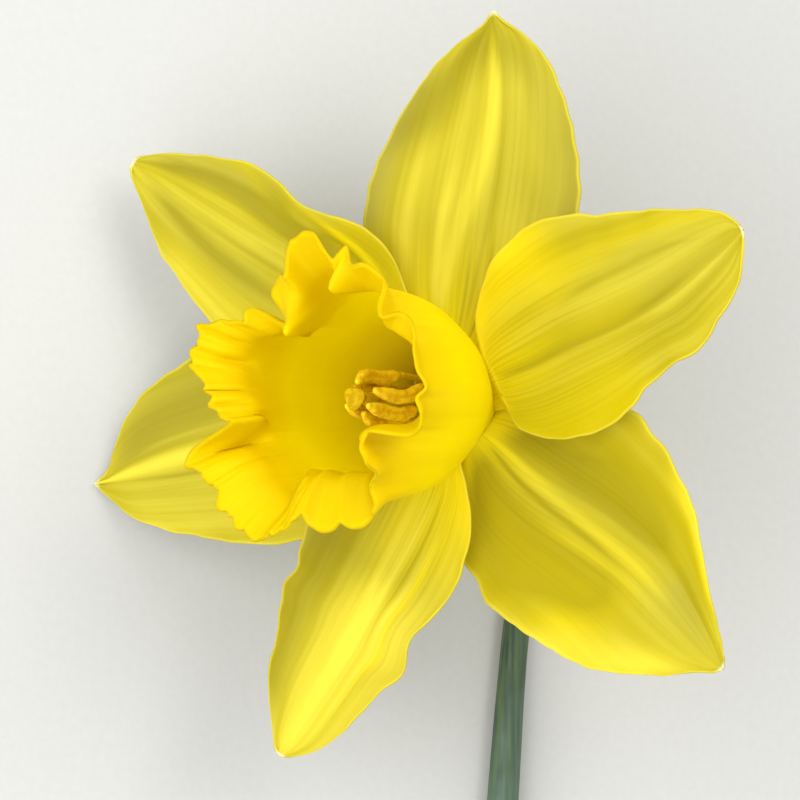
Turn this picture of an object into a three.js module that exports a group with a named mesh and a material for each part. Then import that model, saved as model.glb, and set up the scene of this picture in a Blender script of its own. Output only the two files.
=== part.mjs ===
// A trumpet daffodil, cut with its stem and laid on a flat surface.
// Millimetres, +Z up. The origin lies on the surface, under the middle of the whole flower.
// The stem lies along -Y. The bloom leans back on its left petal and faces up and to -X.

import * as THREE from 'three';

const { degToRad, lerp, clamp, smoothstep } = THREE.MathUtils;

// The bloom: where petals, trumpet and tube meet, and how far its axis leans from straight up
const throatX = 5.4;
const throatY = 49.9;
const throatZ = 33.2;
const bloomLean = 38;

// Soft sheets: petals, trumpet and tube wall
const petalThickness = 0.8;
const coronaThickness = 0.8;
const petalRows = 20;
const petalColumns = 8;

// Trumpet: its axis is an arc that bends to the left, and its radius grows to the flared rim
const coronaLength = 36.5;
const coronaBend = 15;
const coronaRise = 1.2;
const coronaStart = 0.75;
const coronaRows = 14;
const coronaWidestGap = 5.2;
const coronaRimRadius = 17.5;
const frillStart = 0.45;
const frillBroadness = 8;
const broadPower = 1.6;
const finePower = 4;
const pleatCount = 12;
const pleatDepth = 0.22;

// Tube, ovary, pedicel, stem and sheath
const tubeLength = 18;
const tubeWall = 0.8;
const ovaryLength = 11;
const joinGap = 0.3;
const stemSides = 12;
const hollowRadius = 1.1;
const hollowDepth = 5;
const sheathLength = 38;
const sheathThickness = 0.6;
const sheathStart = [22.7, -4.7, 0.32];
const sheathDrift = -3;

// Stamens and pistil: six stamens stand round the style, and lean with the trumpet
const stamenCount = 6;
const filamentStart = -8;
const filamentRadius = 0.45;
const filamentInset = 1.75;
const antherSpread = 2.9;
const antherLean = 0.5;
const antherLength = 10;
const antherStarts = [14.6, 15.6, 13.8, 15.2, 14.2, 16];
const styleRadius = 0.6;
const styleEnd = 24.4;
const stigmaLength = 1.8;

// Each petal is drawn flat: [distance from the throat, distance to the side], root to tip, left edge
// and right edge as seen when looking out along the petal, then its rib. height and rise give the slope
// of the sheet, cup how far the middle lies behind the edges, and bumps are [along, across, spread
// along, spread across, lift], with along from 0 to 1 and across from -1 (right) to 1 (left).
const petals = {
  petal_outer_top: {
    azimuth: 83,
    height: -1.4,
    rise: 0.035,
    cup: 1.2,
    left: [[6.1, 4], [10, 8.6], [15, 12.8], [22, 15], [28, 14.2], [36, 11.3], [42, 7.8], [45.5, 4.8],
      [47.6, 2.2], [48.8, 0.9], [50.5, 0]],
    right: [[6.1, -4], [10, -8], [15, -11.5], [21, -13.6], [27, -14.4], [33, -13.5], [40, -10.7],
      [44.5, -8.2], [47.5, -4.8], [49.3, -1.4], [50.5, 0]],
    rib: [[5, 0.5], [15, 0.9], [25, 0.9], [38, 0], [50.5, 0]],
    bumps: [[0.5, 1, 0.12, 0.4, 0.6], [0.75, -1, 0.1, 0.4, -0.6]],
  },
  petal_outer_lower_right: {
    azimuth: -42.7,
    height: -1.4,
    rise: 0.03,
    cup: 1.4,
    left: [[6.1, 4], [9, 8.6], [12.5, 13], [18.5, 15.3], [23, 15.4], [28, 14.2], [33, 12.2], [37, 9.6],
      [42, 6.1], [45.5, 3.8], [48.3, 1.9], [49.6, 1], [50.3, 0]],
    right: [[6.1, -5], [9, -9], [12, -12.2], [17, -14.9], [22, -16.1], [27, -15.6], [33, -14],
      [37, -12.7], [41, -9.8], [45, -6.3], [48, -2.8], [49.6, -1.3], [50.3, 0]],
    rib: [[5, -1.2], [13, -1.3], [18, -0.5], [23, 0.9], [28, 2], [34, 2.6], [43, 1.4], [50.3, 0]],
    bumps: [[0.72, -1, 0.1, 0.4, 0.8], [0.6, 1, 0.12, 0.4, -0.6]],
  },
  petal_outer_left: {
    azimuth: -167.4,
    height: -1.3,
    rise: 0.006,
    cup: 1.2,
    left: [[6.1, 4], [9, 8], [13, 11.5], [19, 13.4], [26, 13.7], [31, 13], [38, 10.7], [44, 8.3],
      [48.5, 5.8], [51, 3], [52.4, 1.3], [53.4, 0]],
    right: [[6.1, -4], [9, -8.4], [13, -12], [20, -14.5], [28, -15], [35, -13.6], [40, -12.1],
      [44, -10.1], [47.3, -7.2], [49.6, -3.8], [51.3, -1.2], [53.4, 0]],
    rib: [[5, 0.5], [35, 0.6], [48, 0.3], [53.4, 0]],
    bumps: [[0.6, 1, 0.12, 0.4, 0.6]],
  },
  petal_inner_upper_right: {
    azimuth: 26.9,
    height: 0.6,
    rise: 0.1,
    cup: 1,
    left: [[7.1, 3.4], [8, 6.6], [10.6, 10.2], [14.5, 13], [20.5, 14.2], [25, 13.3], [30, 10.9],
      [36, 8.3], [41, 5.6], [44.2, 3.6], [45.6, 1.5], [46, 0]],
    right: [[6.9, -5], [7.2, -8], [9, -10], [12, -12], [17, -13.4], [22, -12.8], [26.5, -11.2],
      [30, -10.6], [34, -10.5], [38, -8.4], [42.3, -5.6], [45, -2], [46, 0]],
    rib: [[5, -0.5], [12, -1.5], [18, -1.8], [26, -2.7], [34, -2.5], [41, -1.2], [46, 0]],
    bumps: [[0.62, -1, 0.1, 0.4, 0.9], [0.4, 1, 0.12, 0.4, 0.6]],
  },
  petal_inner_bottom: {
    azimuth: -113.8,
    height: 0.6,
    rise: 0.14,
    cup: 1,
    left: [[7, 5.3], [9.7, 7.8], [13, 9.9], [17, 11.4], [22, 11.7], [26, 10.9], [29.3, 9.3],
      [31.5, 9.3], [34.5, 10.4], [37, 9.1], [40, 8], [45, 6], [48.4, 3.9], [50.3, 1.4], [50.9, 0]],
    right: [[7.1, -3.6], [10, -7.2], [14, -9.5], [20, -10.6], [25.5, -9.9], [28.3, -9.1], [31, -9.5],
      [33.5, -8.9], [36, -8.1], [41.7, -6.7], [47, -3.7], [50, -1.4], [50.9, 0]],
    rib: [[5, 1.5], [10, 3.4], [18, 3.6], [29, 2.6], [37, 1.8], [44, 0.9], [50.9, 0]],
    bumps: [[0.66, 1, 0.08, 0.4, 1.2], [0.55, 1, 0.06, 0.4, -0.8], [0.55, -1, 0.08, 0.4, 0.8]],
  },
  petal_inner_upper_left: {
    azimuth: 144.4,
    height: 0.6,
    rise: 0.06,
    cup: 1,
    left: [[7.1, 3.6], [10, 7.6], [15, 10.8], [22, 12.4], [28, 12], [33.5, 10.8], [41, 8.6],
      [46, 6.3], [50, 3.6], [52.5, 2], [53.7, 0.9], [54.1, 0]],
    right: [[7.1, -3.4], [9, -5.4], [12.4, -7.8], [16.8, -11], [21, -12], [25, -11.1], [29.5, -9.4],
      [32.5, -9.3], [36, -9.6], [39, -9.6], [43, -8.2], [47, -6], [51, -3.6], [53.4, -1.4], [54.1, 0]],
    rib: [[5, -1], [14, -2.5], [27, -2.7], [37, -1.6], [48, -0.8], [54.1, 0]],
    bumps: [[0.36, -1, 0.12, 0.4, 3], [0.6, -1, 0.07, 0.4, -0.6]],
  },
};

// Radius of the trumpet's body along its length, from the throat (0) to the rim (1)
const coronaBody = [[0, 5.8], [0.15, 7.9], [0.25, 9.5], [0.4, 11.5], [0.6, 13], [0.8, 13.9], [0.88, 14.6],
  [1, 17.5]];

// The frilled rim: [angle round the trumpet, radius], counter-clockwise
const coronaRim = [
  [-170.2, 13.6], [-166.3, 13.4], [-163, 13.1], [-160, 13.9], [-157, 19.4], [-154.2, 18.9],
  [-151.4, 19.5], [-147.2, 19.1], [-142.1, 19.3], [-139, 18.9], [-135.9, 19.1], [-132.5, 19.8],
  [-128.5, 19.7], [-124.4, 19.9], [-118.8, 20], [-114, 20.2], [-110.1, 19.8], [-107, 18.3],
  [-103.7, 18.9], [-100.3, 16.8], [-97.2, 15.8], [-94.3, 15.5], [-91.4, 16.7], [-88.2, 17.3],
  [-84.4, 17.6], [-80, 17.4], [-76.4, 16.8], [-73.4, 17.5], [-69.3, 18.1], [-64.7, 18.3], [-61, 18],
  [-57.4, 17.6], [-54, 17.1], [-51, 15.9], [-46.7, 15.6], [-43, 15.8], [-39.2, 16], [-35.8, 15.6],
  [-32.7, 15], [-29.5, 14.2], [-25, 13.9], [-22, 14], [-19, 17.2], [-15, 18.3], [-9.2, 18], [-4.1, 17],
  [0.2, 18.2], [6.8, 17.3], [14.1, 17.4], [20.2, 18], [27.1, 17.6], [32.4, 16.5], [35.9, 14.5],
  [40, 15.2], [43, 16.8], [46, 17.7], [49.1, 17.8], [53.8, 17.5], [58.9, 16.5], [63.2, 16.2],
  [66.5, 16.8], [70.4, 18.4], [74, 16.5], [77.4, 16.7], [81.1, 17.5], [84.4, 18.4], [87.9, 18.6],
  [91.7, 18.4], [96, 18.2], [99.5, 17.5], [103, 14.6], [106.5, 14.5], [110, 14.8], [116.3, 14.5],
  [122, 13.4], [126, 12.3], [129.5, 11.3], [132.5, 11.8], [135.5, 14.1], [138.6, 13.8], [141.7, 13.4],
  [146.4, 15], [149.6, 16.3], [153, 16.9], [157, 17.4], [161.4, 17.6], [165.7, 17.1], [169.4, 17.4],
  [172.9, 17], [175.7, 16], [179, 14.5], [183.5, 13.8],
];

// How far forward the rim lies at an angle
const coronaForward = [[-171, 0.6], [-163, 1], [-156, 0], [-104, 0], [-98, -0.3], [-93, -1.4], [-88, -2],
  [-62, -2], [-55, -1], [-49, 0], [-42, 0.8], [-38.5, 2], [-35, 4], [-30.5, 5], [-25, 5], [-21, 3.4],
  [-18, 1], [-14, 0], [100, 0], [109, -1], [115.5, -1.5], [121, -2], [126, -4], [130.5, -6], [134, -3.5],
  [138, -1.2], [143, -0.6], [150, 0], [189, 0.6]];

// How far the wall bulges at an angle before it flares, and how much of that at a place along it
const coronaBulge = [[-185, -0.6], [-171, -0.9], [-157, -0.6], [-148, -1], [-125, -1.4], [-112, -0.8],
  [-100, 0], [-70, 0], [-62, 0.5], [-56, 1.5], [-48, 1.3], [-38, 0.4], [-28, 0], [50, 0], [84, -0.2],
  [100, -0.4], [111, -1.4], [120, -2.4], [128, -2], [136, -0.8], [150, -0.6], [175, -0.6], [189, -0.9],
  [203, -0.6]];
const bulgeShare = [[0.25, 0], [0.5, 0.45], [0.7, 0.8], [0.85, 1], [0.93, 0.6], [1, 0]];

// The lower lip is drawn in between a left edge, which slants, and a right edge
const lip = { left: -96.5, slant: 95, reach: 21, right: -61, edge: 4, depth: 3.2 };

// Lobes whose edge rolls toward the front: [angle, half width, from, size]
const coronaRolls = [[-28, 9, 0.76, 3], [116, 10, 0.64, 6], [71.5, 5.5, 0.76, 4], [30, 8, 0.76, 2],
  [165, 20, 0.8, 0.9], [-80, 16, 0.76, 1], [-135, 20, 0.8, 0.8]];

// Outer radius of the tube and of the ovary, back from the throat
const tubeProfile = [[0, 6.2], [1.4, 5.6], [4, 4.5], [8, 3.5], [13, 2.9], [18, 2.7]];
const ovaryProfile = [[0, 2.3], [0.2, 3.1], [0.5, 3.7], [0.75, 3.4], [1, 1.9]];

// Route of the pedicel and of the stem, from the point of the surface under the throat
const pedicelRoute = [[18.2, 0, 9.9], [20.4, 0.1, 7], [22.3, -0.4, 4.5], [23, -2.4, 3.2],
  [22.8, -4.6, 2.75]];
const stemRoute = [[22.7, -5, 2.3], [21.6, -14, 1.95], [19, -33.8, 2], [17.1, -56, 2.3], [14.2, -100, 2.5],
  [12, -150, 2.7]];
const stemWidths = [[0, 4.6], [0.06, 3.9], [0.2, 3.8], [0.35, 4.4], [0.7, 5], [1, 5.4]];
const pedicelRadii = [[0, 1.7], [0.3, 1.45], [0.7, 1.5], [1, 1.75]];

// Half widths of an anther, flat on the side toward the style, and of the stigma's head
const antherHalf = [[0, 0.45, 0.4], [0.12, 0.85, 0.65], [0.5, 0.95, 0.7], [0.88, 0.8, 0.6], [1, 0.4, 0.35]];
const stigmaHalf = [[0, 0.75], [0.5, 1.15], [0.85, 1.45], [1, 1.2]];

// The sheath along its length: half its width, measured round its curve, and the radius of that curve
const sheathHalfWidths = [[0, 6.4], [0.3, 7.4], [0.6, 5.6], [0.85, 2.8], [1, 0.5]];
const sheathRadii = [[0, 2.5], [0.3, 4.2], [0.6, 5.4], [1, 7]];

const surfaces = {
  petal: { color: '#e4d334', roughness: 0.62 },
  corona: { color: '#fbd30a', roughness: 0.58 },
  anther: { color: '#c8960c', roughness: 0.85 },
  filament: { color: '#cdc640', roughness: 0.6 },
  stigma: { color: '#e0d860', roughness: 0.5 },
  tube: { color: '#b9bd3c', roughness: 0.6 },
  green: { color: '#5f7f52', roughness: 0.55 },
  sheath: { color: '#b89766', roughness: 0.8 },
};

// A smooth value at a place between [place, value] stations
function between(stations, place, column = 1) {
  const last = stations.length - 1;
  let i = 0;
  while (i < last - 1 && place > stations[i + 1][0]) {
    i += 1;
  }
  const slopeAt = (k) => {
    const before = stations[Math.max(k - 1, 0)];
    const after = stations[Math.min(k + 1, last)];
    return (after[column] - before[column]) / (after[0] - before[0]);
  };
  const span = stations[i + 1][0] - stations[i][0];
  const t = clamp((place - stations[i][0]) / span, 0, 1);
  const fromStart = (1 - t) ** 2 * ((1 + 2 * t) * stations[i][column] + t * span * slopeAt(i));
  const fromEnd = t ** 2 * ((3 - 2 * t) * stations[i + 1][column] - (1 - t) * span * slopeAt(i + 1));
  return fromStart + fromEnd;
}

// A named body of vertices and triangles
function meshFrom(name, vertices, triangles, surface) {
  const geometry = new THREE.BufferGeometry();
  const numbers = vertices.flatMap((p) => p.toArray());
  geometry.setAttribute('position', new THREE.Float32BufferAttribute(numbers, 3));
  geometry.setIndex(triangles.flat());
  geometry.computeVertexNormals();
  const mesh = new THREE.Mesh(geometry, new THREE.MeshStandardMaterial({ ...surface, metalness: 0 }));
  mesh.name = name;
  return mesh;
}

// Two triangles for each cell of a grid of vertex numbers, split along the same diagonal throughout
function cells(rows, closed, flipped) {
  const triangles = [];
  for (let i = 0; i < rows.length - 1; i += 1) {
    const count = rows[i].length;
    for (let j = 0; j < (closed ? count : count - 1); j += 1) {
      const k = (j + 1) % count;
      const [a, b, c, d] = [rows[i][j], rows[i][k], rows[i + 1][k], rows[i + 1][j]];
      triangles.push(flipped ? [a, c, b] : [a, b, c], flipped ? [a, d, c] : [a, c, d]);
    }
  }
  return triangles;
}

// The front and back of a sheet, half its thickness to each side along the sheet's own normal
function sheetFaces(sheet, rows, columns, thickness, closed) {
  const step = 0.004;
  const sides = { front: [], back: [] };
  const vertices = [];
  for (let i = 0; i <= rows; i += 1) {
    const front = [];
    const back = [];
    for (let j = 0; j < (closed ? columns : columns + 1); j += 1) {
      const u = i / rows;
      const v = j / columns;
      const middle = sheet(u, v);
      const uSafe = clamp(u, 2 * step, 1 - 8 * step);
      const vSafe = closed ? v : clamp(v, step, 1 - step);
      const alongSheet = sheet(uSafe + step, vSafe).sub(sheet(uSafe - step, vSafe));
      const acrossSheet = sheet(uSafe, vSafe + step).sub(sheet(uSafe, vSafe - step));
      const normal = alongSheet.cross(acrossSheet).normalize().multiplyScalar(thickness / 2);
      front.push(vertices.push(middle.clone().add(normal)) - 1);
      back.push(vertices.push(middle.clone().sub(normal)) - 1);
    }
    sides.front.push(front);
    sides.back.push(back);
  }
  return { vertices, ...sides };
}

// A closed sheet with four edges, whose last row may be as narrow as a point
function sheetMesh(name, sheet, rows, columns, thickness, surface) {
  const { vertices, front, back } = sheetFaces(sheet, rows, columns, thickness, false);
  const rim = [
    [front[0], back[0]],
    [back[rows], front[rows]],
    [back.map((row) => row[0]), front.map((row) => row[0])],
    [front.map((row) => row[columns]), back.map((row) => row[columns])],
  ];
  const triangles = [...cells(front, false, true), ...cells(back, false, false)];
  rim.forEach((edge) => triangles.push(...cells(edge, false, false)));
  return meshFrom(name, vertices, triangles, surface);
}

// A sheet that closes on itself, such as a trumpet's wall
function wallMesh(name, wall, rows, columns, thickness, surface) {
  const { vertices, front, back } = sheetFaces(wall, rows, columns, thickness, true);
  const triangles = [...cells(front, true, true), ...cells(back, true, false)];
  triangles.push(...cells([front[0], back[0]], true, false));
  triangles.push(...cells([back[rows], front[rows]], true, false));
  return meshFrom(name, vertices, triangles, surface);
}

// A body of rings along a route, each ring an ellipse, closed at both ends by a middle point
function ringMesh(name, route, halfSizes, steps, sides, surface, { level = [0, 0, 1], hollow } = {}) {
  const curve = new THREE.CatmullRomCurve3(route.map((p) => new THREE.Vector3(...p)));
  const vertices = [];
  const rings = [];
  const addRing = (t, inward, width, height) => {
    const tangent = curve.getTangentAt(t);
    const across = new THREE.Vector3(...level).cross(tangent).normalize();
    const over = new THREE.Vector3().crossVectors(tangent, across);
    const centre = curve.getPointAt(t).addScaledVector(tangent, -inward);
    const ring = [];
    for (let j = 0; j < sides; j += 1) {
      const angle = (2 * Math.PI * j) / sides;
      const point = centre.clone().addScaledVector(across, width * Math.cos(angle));
      ring.push(vertices.push(point.addScaledVector(over, height * Math.sin(angle))) - 1);
    }
    rings.push(ring);
    return centre;
  };
  for (let i = 0; i <= steps; i += 1) {
    addRing(i / steps, 0, ...halfSizes(i / steps));
  }
  let endCentre = curve.getPointAt(1);
  if (hollow) {
    addRing(1, 0, hollow.radius, hollow.radius);
    endCentre = addRing(1, hollow.depth, hollow.radius * 0.9, hollow.radius * 0.9);
  }
  const triangles = cells(rings, true, false);
  const startMiddle = vertices.push(curve.getPointAt(0)) - 1;
  const endMiddle = vertices.push(endCentre) - 1;
  const endRing = rings[rings.length - 1];
  for (let j = 0; j < sides; j += 1) {
    const k = (j + 1) % sides;
    triangles.push([startMiddle, rings[0][k], rings[0][j]], [endMiddle, endRing[j], endRing[k]]);
  }
  return meshFrom(name, vertices, triangles, surface);
}

// A body turned about +Z from an outline of [radius, height]
function turnedMesh(name, outline, sides, surface) {
  const geometry = new THREE.LatheGeometry(outline.map(([x, y]) => new THREE.Vector2(x, y)), sides);
  const mesh = new THREE.Mesh(geometry, new THREE.MeshStandardMaterial({ ...surface, metalness: 0 }));
  mesh.name = name;
  mesh.rotation.x = Math.PI / 2;
  return mesh;
}

// The sheet of one petal in its own frame: +X out along it, +Y to its left, +Z toward the front
function petalSheet(petal) {
  const edges = [petal.right, petal.left].map(
    (points) => new THREE.SplineCurve(points.map(([x, y]) => new THREE.Vector2(x, y))),
  );
  return (u, across) => {
    const v = 2 * across - 1;
    const [right, left] = edges.map((edge) => edge.getPointAt(u));
    const ribAt = (right.x + left.x) / 2;
    const rib = new THREE.Vector2(ribAt, between(petal.rib, ribAt));
    const place = rib.lerp(v < 0 ? right : left, Math.abs(v));
    const channel = petal.cup * (1 - v * v) * Math.sin(Math.PI * u);
    let lift = petal.height + petal.rise * place.x - channel;
    petal.bumps.forEach(([u0, v0, spreadU, spreadV, height]) => {
      lift += height * Math.exp(-(((u - u0) / spreadU) ** 2) - ((v - v0) / spreadV) ** 2);
    });
    return new THREE.Vector3(place.x, place.y, lift);
  };
}

// Angles of the trumpet's columns: each point of the rim, and one between points that lie far apart
const coronaAngles = coronaRim.flatMap(([angle], i) => {
  const next = i + 1 < coronaRim.length ? coronaRim[i + 1][0] : coronaRim[0][0] + 360;
  return next - angle > coronaWidestGap ? [angle, (angle + next) / 2] : [angle];
});

function coronaAngleAt(around) {
  const count = coronaAngles.length;
  const place = (around - Math.floor(around)) * count;
  const first = Math.floor(place);
  const second = first + 1 < count ? coronaAngles[first + 1] : coronaAngles[0] + 360;
  return lerp(coronaAngles[first], second, place - first);
}

// The trumpet's wall, from the throat (along 0) to the rim (along 1), in the bloom's frame
function coronaWall(along, around) {
  const turn = degToRad(coronaBend) * along;
  const arcRadius = coronaLength / degToRad(coronaBend);
  const centre = new THREE.Vector3(
    -arcRadius * (1 - Math.cos(turn)),
    coronaRise * along,
    coronaStart + arcRadius * Math.sin(turn),
  );
  const degrees = coronaAngleAt(around);
  const rim = [
    ...coronaRim.slice(-3).map(([angle, radius]) => [angle - 360, radius]),
    ...coronaRim,
    ...coronaRim.slice(0, 3).map(([angle, radius]) => [angle + 360, radius]),
  ];
  // The rim's broad lobes reach far down the wall, its fine notches only a little
  const rimRadius = between(rim, degrees);
  let broad = 0;
  for (let k = -4; k <= 4; k += 1) {
    broad += between(rim, degrees + (frillBroadness * k) / 4) / 9;
  }
  const frill = Math.max(along - frillStart, 0) / (1 - frillStart);
  const leftEdge = lip.left - Math.min(lip.slant * (1 - along), lip.reach);
  const edge = lip.edge + 60 * Math.max(0.8 - along, 0);
  const pastLeft = smoothstep(degrees, leftEdge - edge, leftEdge + edge);
  const inLip = pastLeft * (1 - smoothstep(degrees, lip.right - 3, lip.right + 4));
  const pleatShare = smoothstep(along, 0.1, 0.7) * (1 - 0.85 * inLip);
  const pleat = pleatDepth * Math.cos(pleatCount * degToRad(degrees)) * pleatShare;
  const bulge = (between(coronaBulge, degrees) - lip.depth * inLip) * between(bulgeShare, along);
  let radius = between(coronaBody, along) + pleat + bulge;
  radius += (broad - coronaRimRadius) * frill ** broadPower + (rimRadius - broad) * frill ** finePower;
  let forward = between(coronaForward, degrees) * frill ** broadPower;
  coronaRolls.forEach(([middle, half, from, size]) => {
    const away = ((degrees - middle + 540) % 360) - 180;
    const share = size * Math.exp(-((away / half) ** 2));
    const rise = smoothstep(along, from, from + 0.14);
    const fall = smoothstep(along, from + 0.1, 1.02);
    forward += share * (rise - 1.15 * fall);
    radius -= 0.35 * share * (rise - fall);
  });
  const outward = new THREE.Vector3(Math.cos(turn), 0, Math.sin(turn));
  const ahead = new THREE.Vector3(-Math.sin(turn), 0, Math.cos(turn));
  const angle = degToRad(degrees);
  return centre
    .addScaledVector(outward, radius * Math.cos(angle))
    .add(new THREE.Vector3(0, radius * Math.sin(angle), 0))
    .addScaledVector(ahead, forward);
}

// The papery sheath round the pedicel, open on the side where the bloom leaves it
function sheathSheet(u, across) {
  const v = 2 * across - 1;
  const radius = between(sheathRadii, u);
  const turn = degToRad(bloomLean) * (1 - u);
  const angle = (v * between(sheathHalfWidths, u)) / radius + turn;
  const [startX, startY, floor] = sheathStart;
  return new THREE.Vector3(
    startX + sheathDrift * u + radius * Math.sin(angle),
    startY + sheathLength * u,
    floor + radius * (1 - Math.cos(angle)),
  );
}

const flower = new THREE.Group();

// What lies on the surface, placed from the point under the throat
const laid = new THREE.Group();
laid.position.set(throatX, throatY, 0);
flower.add(laid);

const stemHalf = (t) => [between(stemWidths, t) / 2, between(stemWidths, t) / 2];
const hollow = { radius: hollowRadius, depth: hollowDepth };
laid.add(ringMesh('scape', stemRoute, stemHalf, 24, stemSides, surfaces.green, { hollow }));
const pedicelHalf = (t) => [between(pedicelRadii, t), between(pedicelRadii, t)];
laid.add(ringMesh('pedicel', pedicelRoute, pedicelHalf, 10, stemSides, surfaces.green));
laid.add(sheetMesh('spathe', sheathSheet, 14, 12, sheathThickness, surfaces.sheath));

// The bloom, in a frame with its origin at the throat and +Z along its axis
const bloom = new THREE.Group();
bloom.position.set(throatX, throatY, throatZ);
bloom.rotation.y = -degToRad(bloomLean);
flower.add(bloom);

const tubeSteps = 10;
const tubeOutline = [];
for (let i = 0; i <= tubeSteps; i += 1) {
  const back = tubeLength * (1 - i / tubeSteps);
  tubeOutline.push([between(tubeProfile, back), -back]);
}
const tubeInside = tubeOutline.map(([radius, height]) => [radius - tubeWall, height]).reverse();
bloom.add(turnedMesh('perianth_tube', [...tubeOutline, ...tubeInside, tubeOutline[0]], 24, surfaces.tube));

const ovaryTop = -tubeLength - joinGap;
const ovarySteps = 10;
const ovaryOutline = [[0, ovaryTop - ovaryLength]];
for (let i = ovarySteps; i >= 0; i -= 1) {
  ovaryOutline.push([between(ovaryProfile, i / ovarySteps), ovaryTop - (ovaryLength * i) / ovarySteps]);
}
bloom.add(turnedMesh('ovary', [...ovaryOutline, [0, ovaryTop]], 18, surfaces.green));

const coronaColumns = coronaAngles.length;
bloom.add(wallMesh('corona', coronaWall, coronaRows, coronaColumns, coronaThickness, surfaces.corona));

// A place at a height above the throat and a distance from the leaning middle of the stamens
function stamenPlace(angle, out, height) {
  const lean = Math.max(height, 0) ** 2 * (degToRad(coronaBend) / (2 * coronaLength));
  return [out * Math.cos(angle) - lean, out * Math.sin(angle), height];
}

const endOn = { level: [1, 0, 0] };
for (let i = 0; i < stamenCount; i += 1) {
  const angle = (2 * Math.PI * (i + 0.5)) / stamenCount;
  const start = antherStarts[i];
  const filamentRoute = [
    stamenPlace(angle, filamentInset, filamentStart),
    stamenPlace(angle, filamentInset + 0.3, 2),
    stamenPlace(angle, antherSpread, start - joinGap),
  ];
  const antherRoute = [0, 0.5, 1].map((t) =>
    stamenPlace(angle, antherSpread - antherLean * t, start + t * antherLength),
  );
  const filamentHalf = () => [filamentRadius, filamentRadius];
  const antherHalves = (t) => [between(antherHalf, t, 1), between(antherHalf, t, 2)];
  bloom.add(ringMesh(`filament_${i + 1}`, filamentRoute, filamentHalf, 6, 6, surfaces.filament, endOn));
  bloom.add(ringMesh(`anther_${i + 1}`, antherRoute, antherHalves, 8, 8, surfaces.anther, endOn));
}

const styleStart = ovaryTop + joinGap;
const styleRoute = [styleStart, 0, styleEnd / 2, styleEnd].map((height) => stamenPlace(0, 0, height));
bloom.add(ringMesh('style', styleRoute, () => [styleRadius, styleRadius], 10, 8, surfaces.filament, endOn));
const stigmaStart = styleEnd + joinGap;
const stigmaRoute = [0, 0.5, 1].map((t) => stamenPlace(0, 0, stigmaStart + t * stigmaLength));
const stigmaHalves = (t) => [between(stigmaHalf, t), between(stigmaHalf, t)];
bloom.add(ringMesh('stigma', stigmaRoute, stigmaHalves, 4, 12, surfaces.stigma, endOn));

Object.entries(petals).forEach(([name, petal]) => {
  const mesh = sheetMesh(name, petalSheet(petal), petalRows, petalColumns, petalThickness, surfaces.petal);
  mesh.rotation.z = degToRad(petal.azimuth);
  bloom.add(mesh);
});

export default flower;
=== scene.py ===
from math import atan2, cos, exp, hypot, pi, radians, sin

import bmesh
import bpy
from mathutils import Matrix, Vector, noise


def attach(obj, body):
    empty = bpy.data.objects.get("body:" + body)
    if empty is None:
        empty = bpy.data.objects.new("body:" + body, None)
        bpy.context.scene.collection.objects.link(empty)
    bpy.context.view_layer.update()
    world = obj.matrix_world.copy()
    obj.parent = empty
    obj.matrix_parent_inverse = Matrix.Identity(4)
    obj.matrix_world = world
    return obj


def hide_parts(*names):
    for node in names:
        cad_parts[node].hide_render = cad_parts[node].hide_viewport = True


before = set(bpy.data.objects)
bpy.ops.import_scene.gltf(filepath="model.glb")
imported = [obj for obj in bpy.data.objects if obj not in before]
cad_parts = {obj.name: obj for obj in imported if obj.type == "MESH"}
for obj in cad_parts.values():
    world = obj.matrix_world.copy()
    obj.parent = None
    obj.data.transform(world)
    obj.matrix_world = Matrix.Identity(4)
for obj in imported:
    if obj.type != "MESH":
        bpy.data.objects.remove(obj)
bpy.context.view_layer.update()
print("frame loaded with", len(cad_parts), "nodes")

# A trumpet daffodil, cut and laid down on its left petal and its stem
# The dictionaries are in millimetres and degrees, the scene in metres
mm = 0.001

# The bloom turns about its throat: the surface of the floor is 33.2 mm below it
bloom = {
    "throat": Vector((5.4, 49.9, 33.2)),
    "lean": 38,
    "trumpetBend": 15,
    "trumpetLength": 36.5,
    "tubeLength": 18,
    "joinGap": 0.3,
}
bloomPlace = Matrix.Translation(bloom["throat"]) @ Matrix.Rotation(-radians(bloom["lean"]), 4, "Y")
laidPlace = Matrix.Translation((bloom["throat"].x, bloom["throat"].y, 0))


# Smooth shapes between a few stations

def clamp(x, low, high):
    return min(max(x, low), high)


def ease(x, low, high):
    t = clamp((x - low) / (high - low), 0, 1)
    return t * t * (3 - 2 * t)


def hill(x, middle, spread):
    return exp(-((x - middle) / spread) ** 2)


# A smooth value at a place between [place, value] stations
def between(stations, place, column=1):
    last = len(stations) - 1
    i = 0
    while i < last - 1 and place > stations[i + 1][0]:
        i += 1

    def slopeAt(k):
        before, after = stations[max(k - 1, 0)], stations[min(k + 1, last)]
        return (after[column] - before[column]) / (after[0] - before[0])

    span = stations[i + 1][0] - stations[i][0]
    t = clamp((place - stations[i][0]) / span, 0, 1)
    fromStart = (1 - t) ** 2 * ((1 + 2 * t) * stations[i][column] + t * span * slopeAt(i))
    fromEnd = t ** 2 * ((3 - 2 * t) * stations[i + 1][column] - (1 - t) * span * slopeAt(i + 1))
    return fromStart + fromEnd


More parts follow.
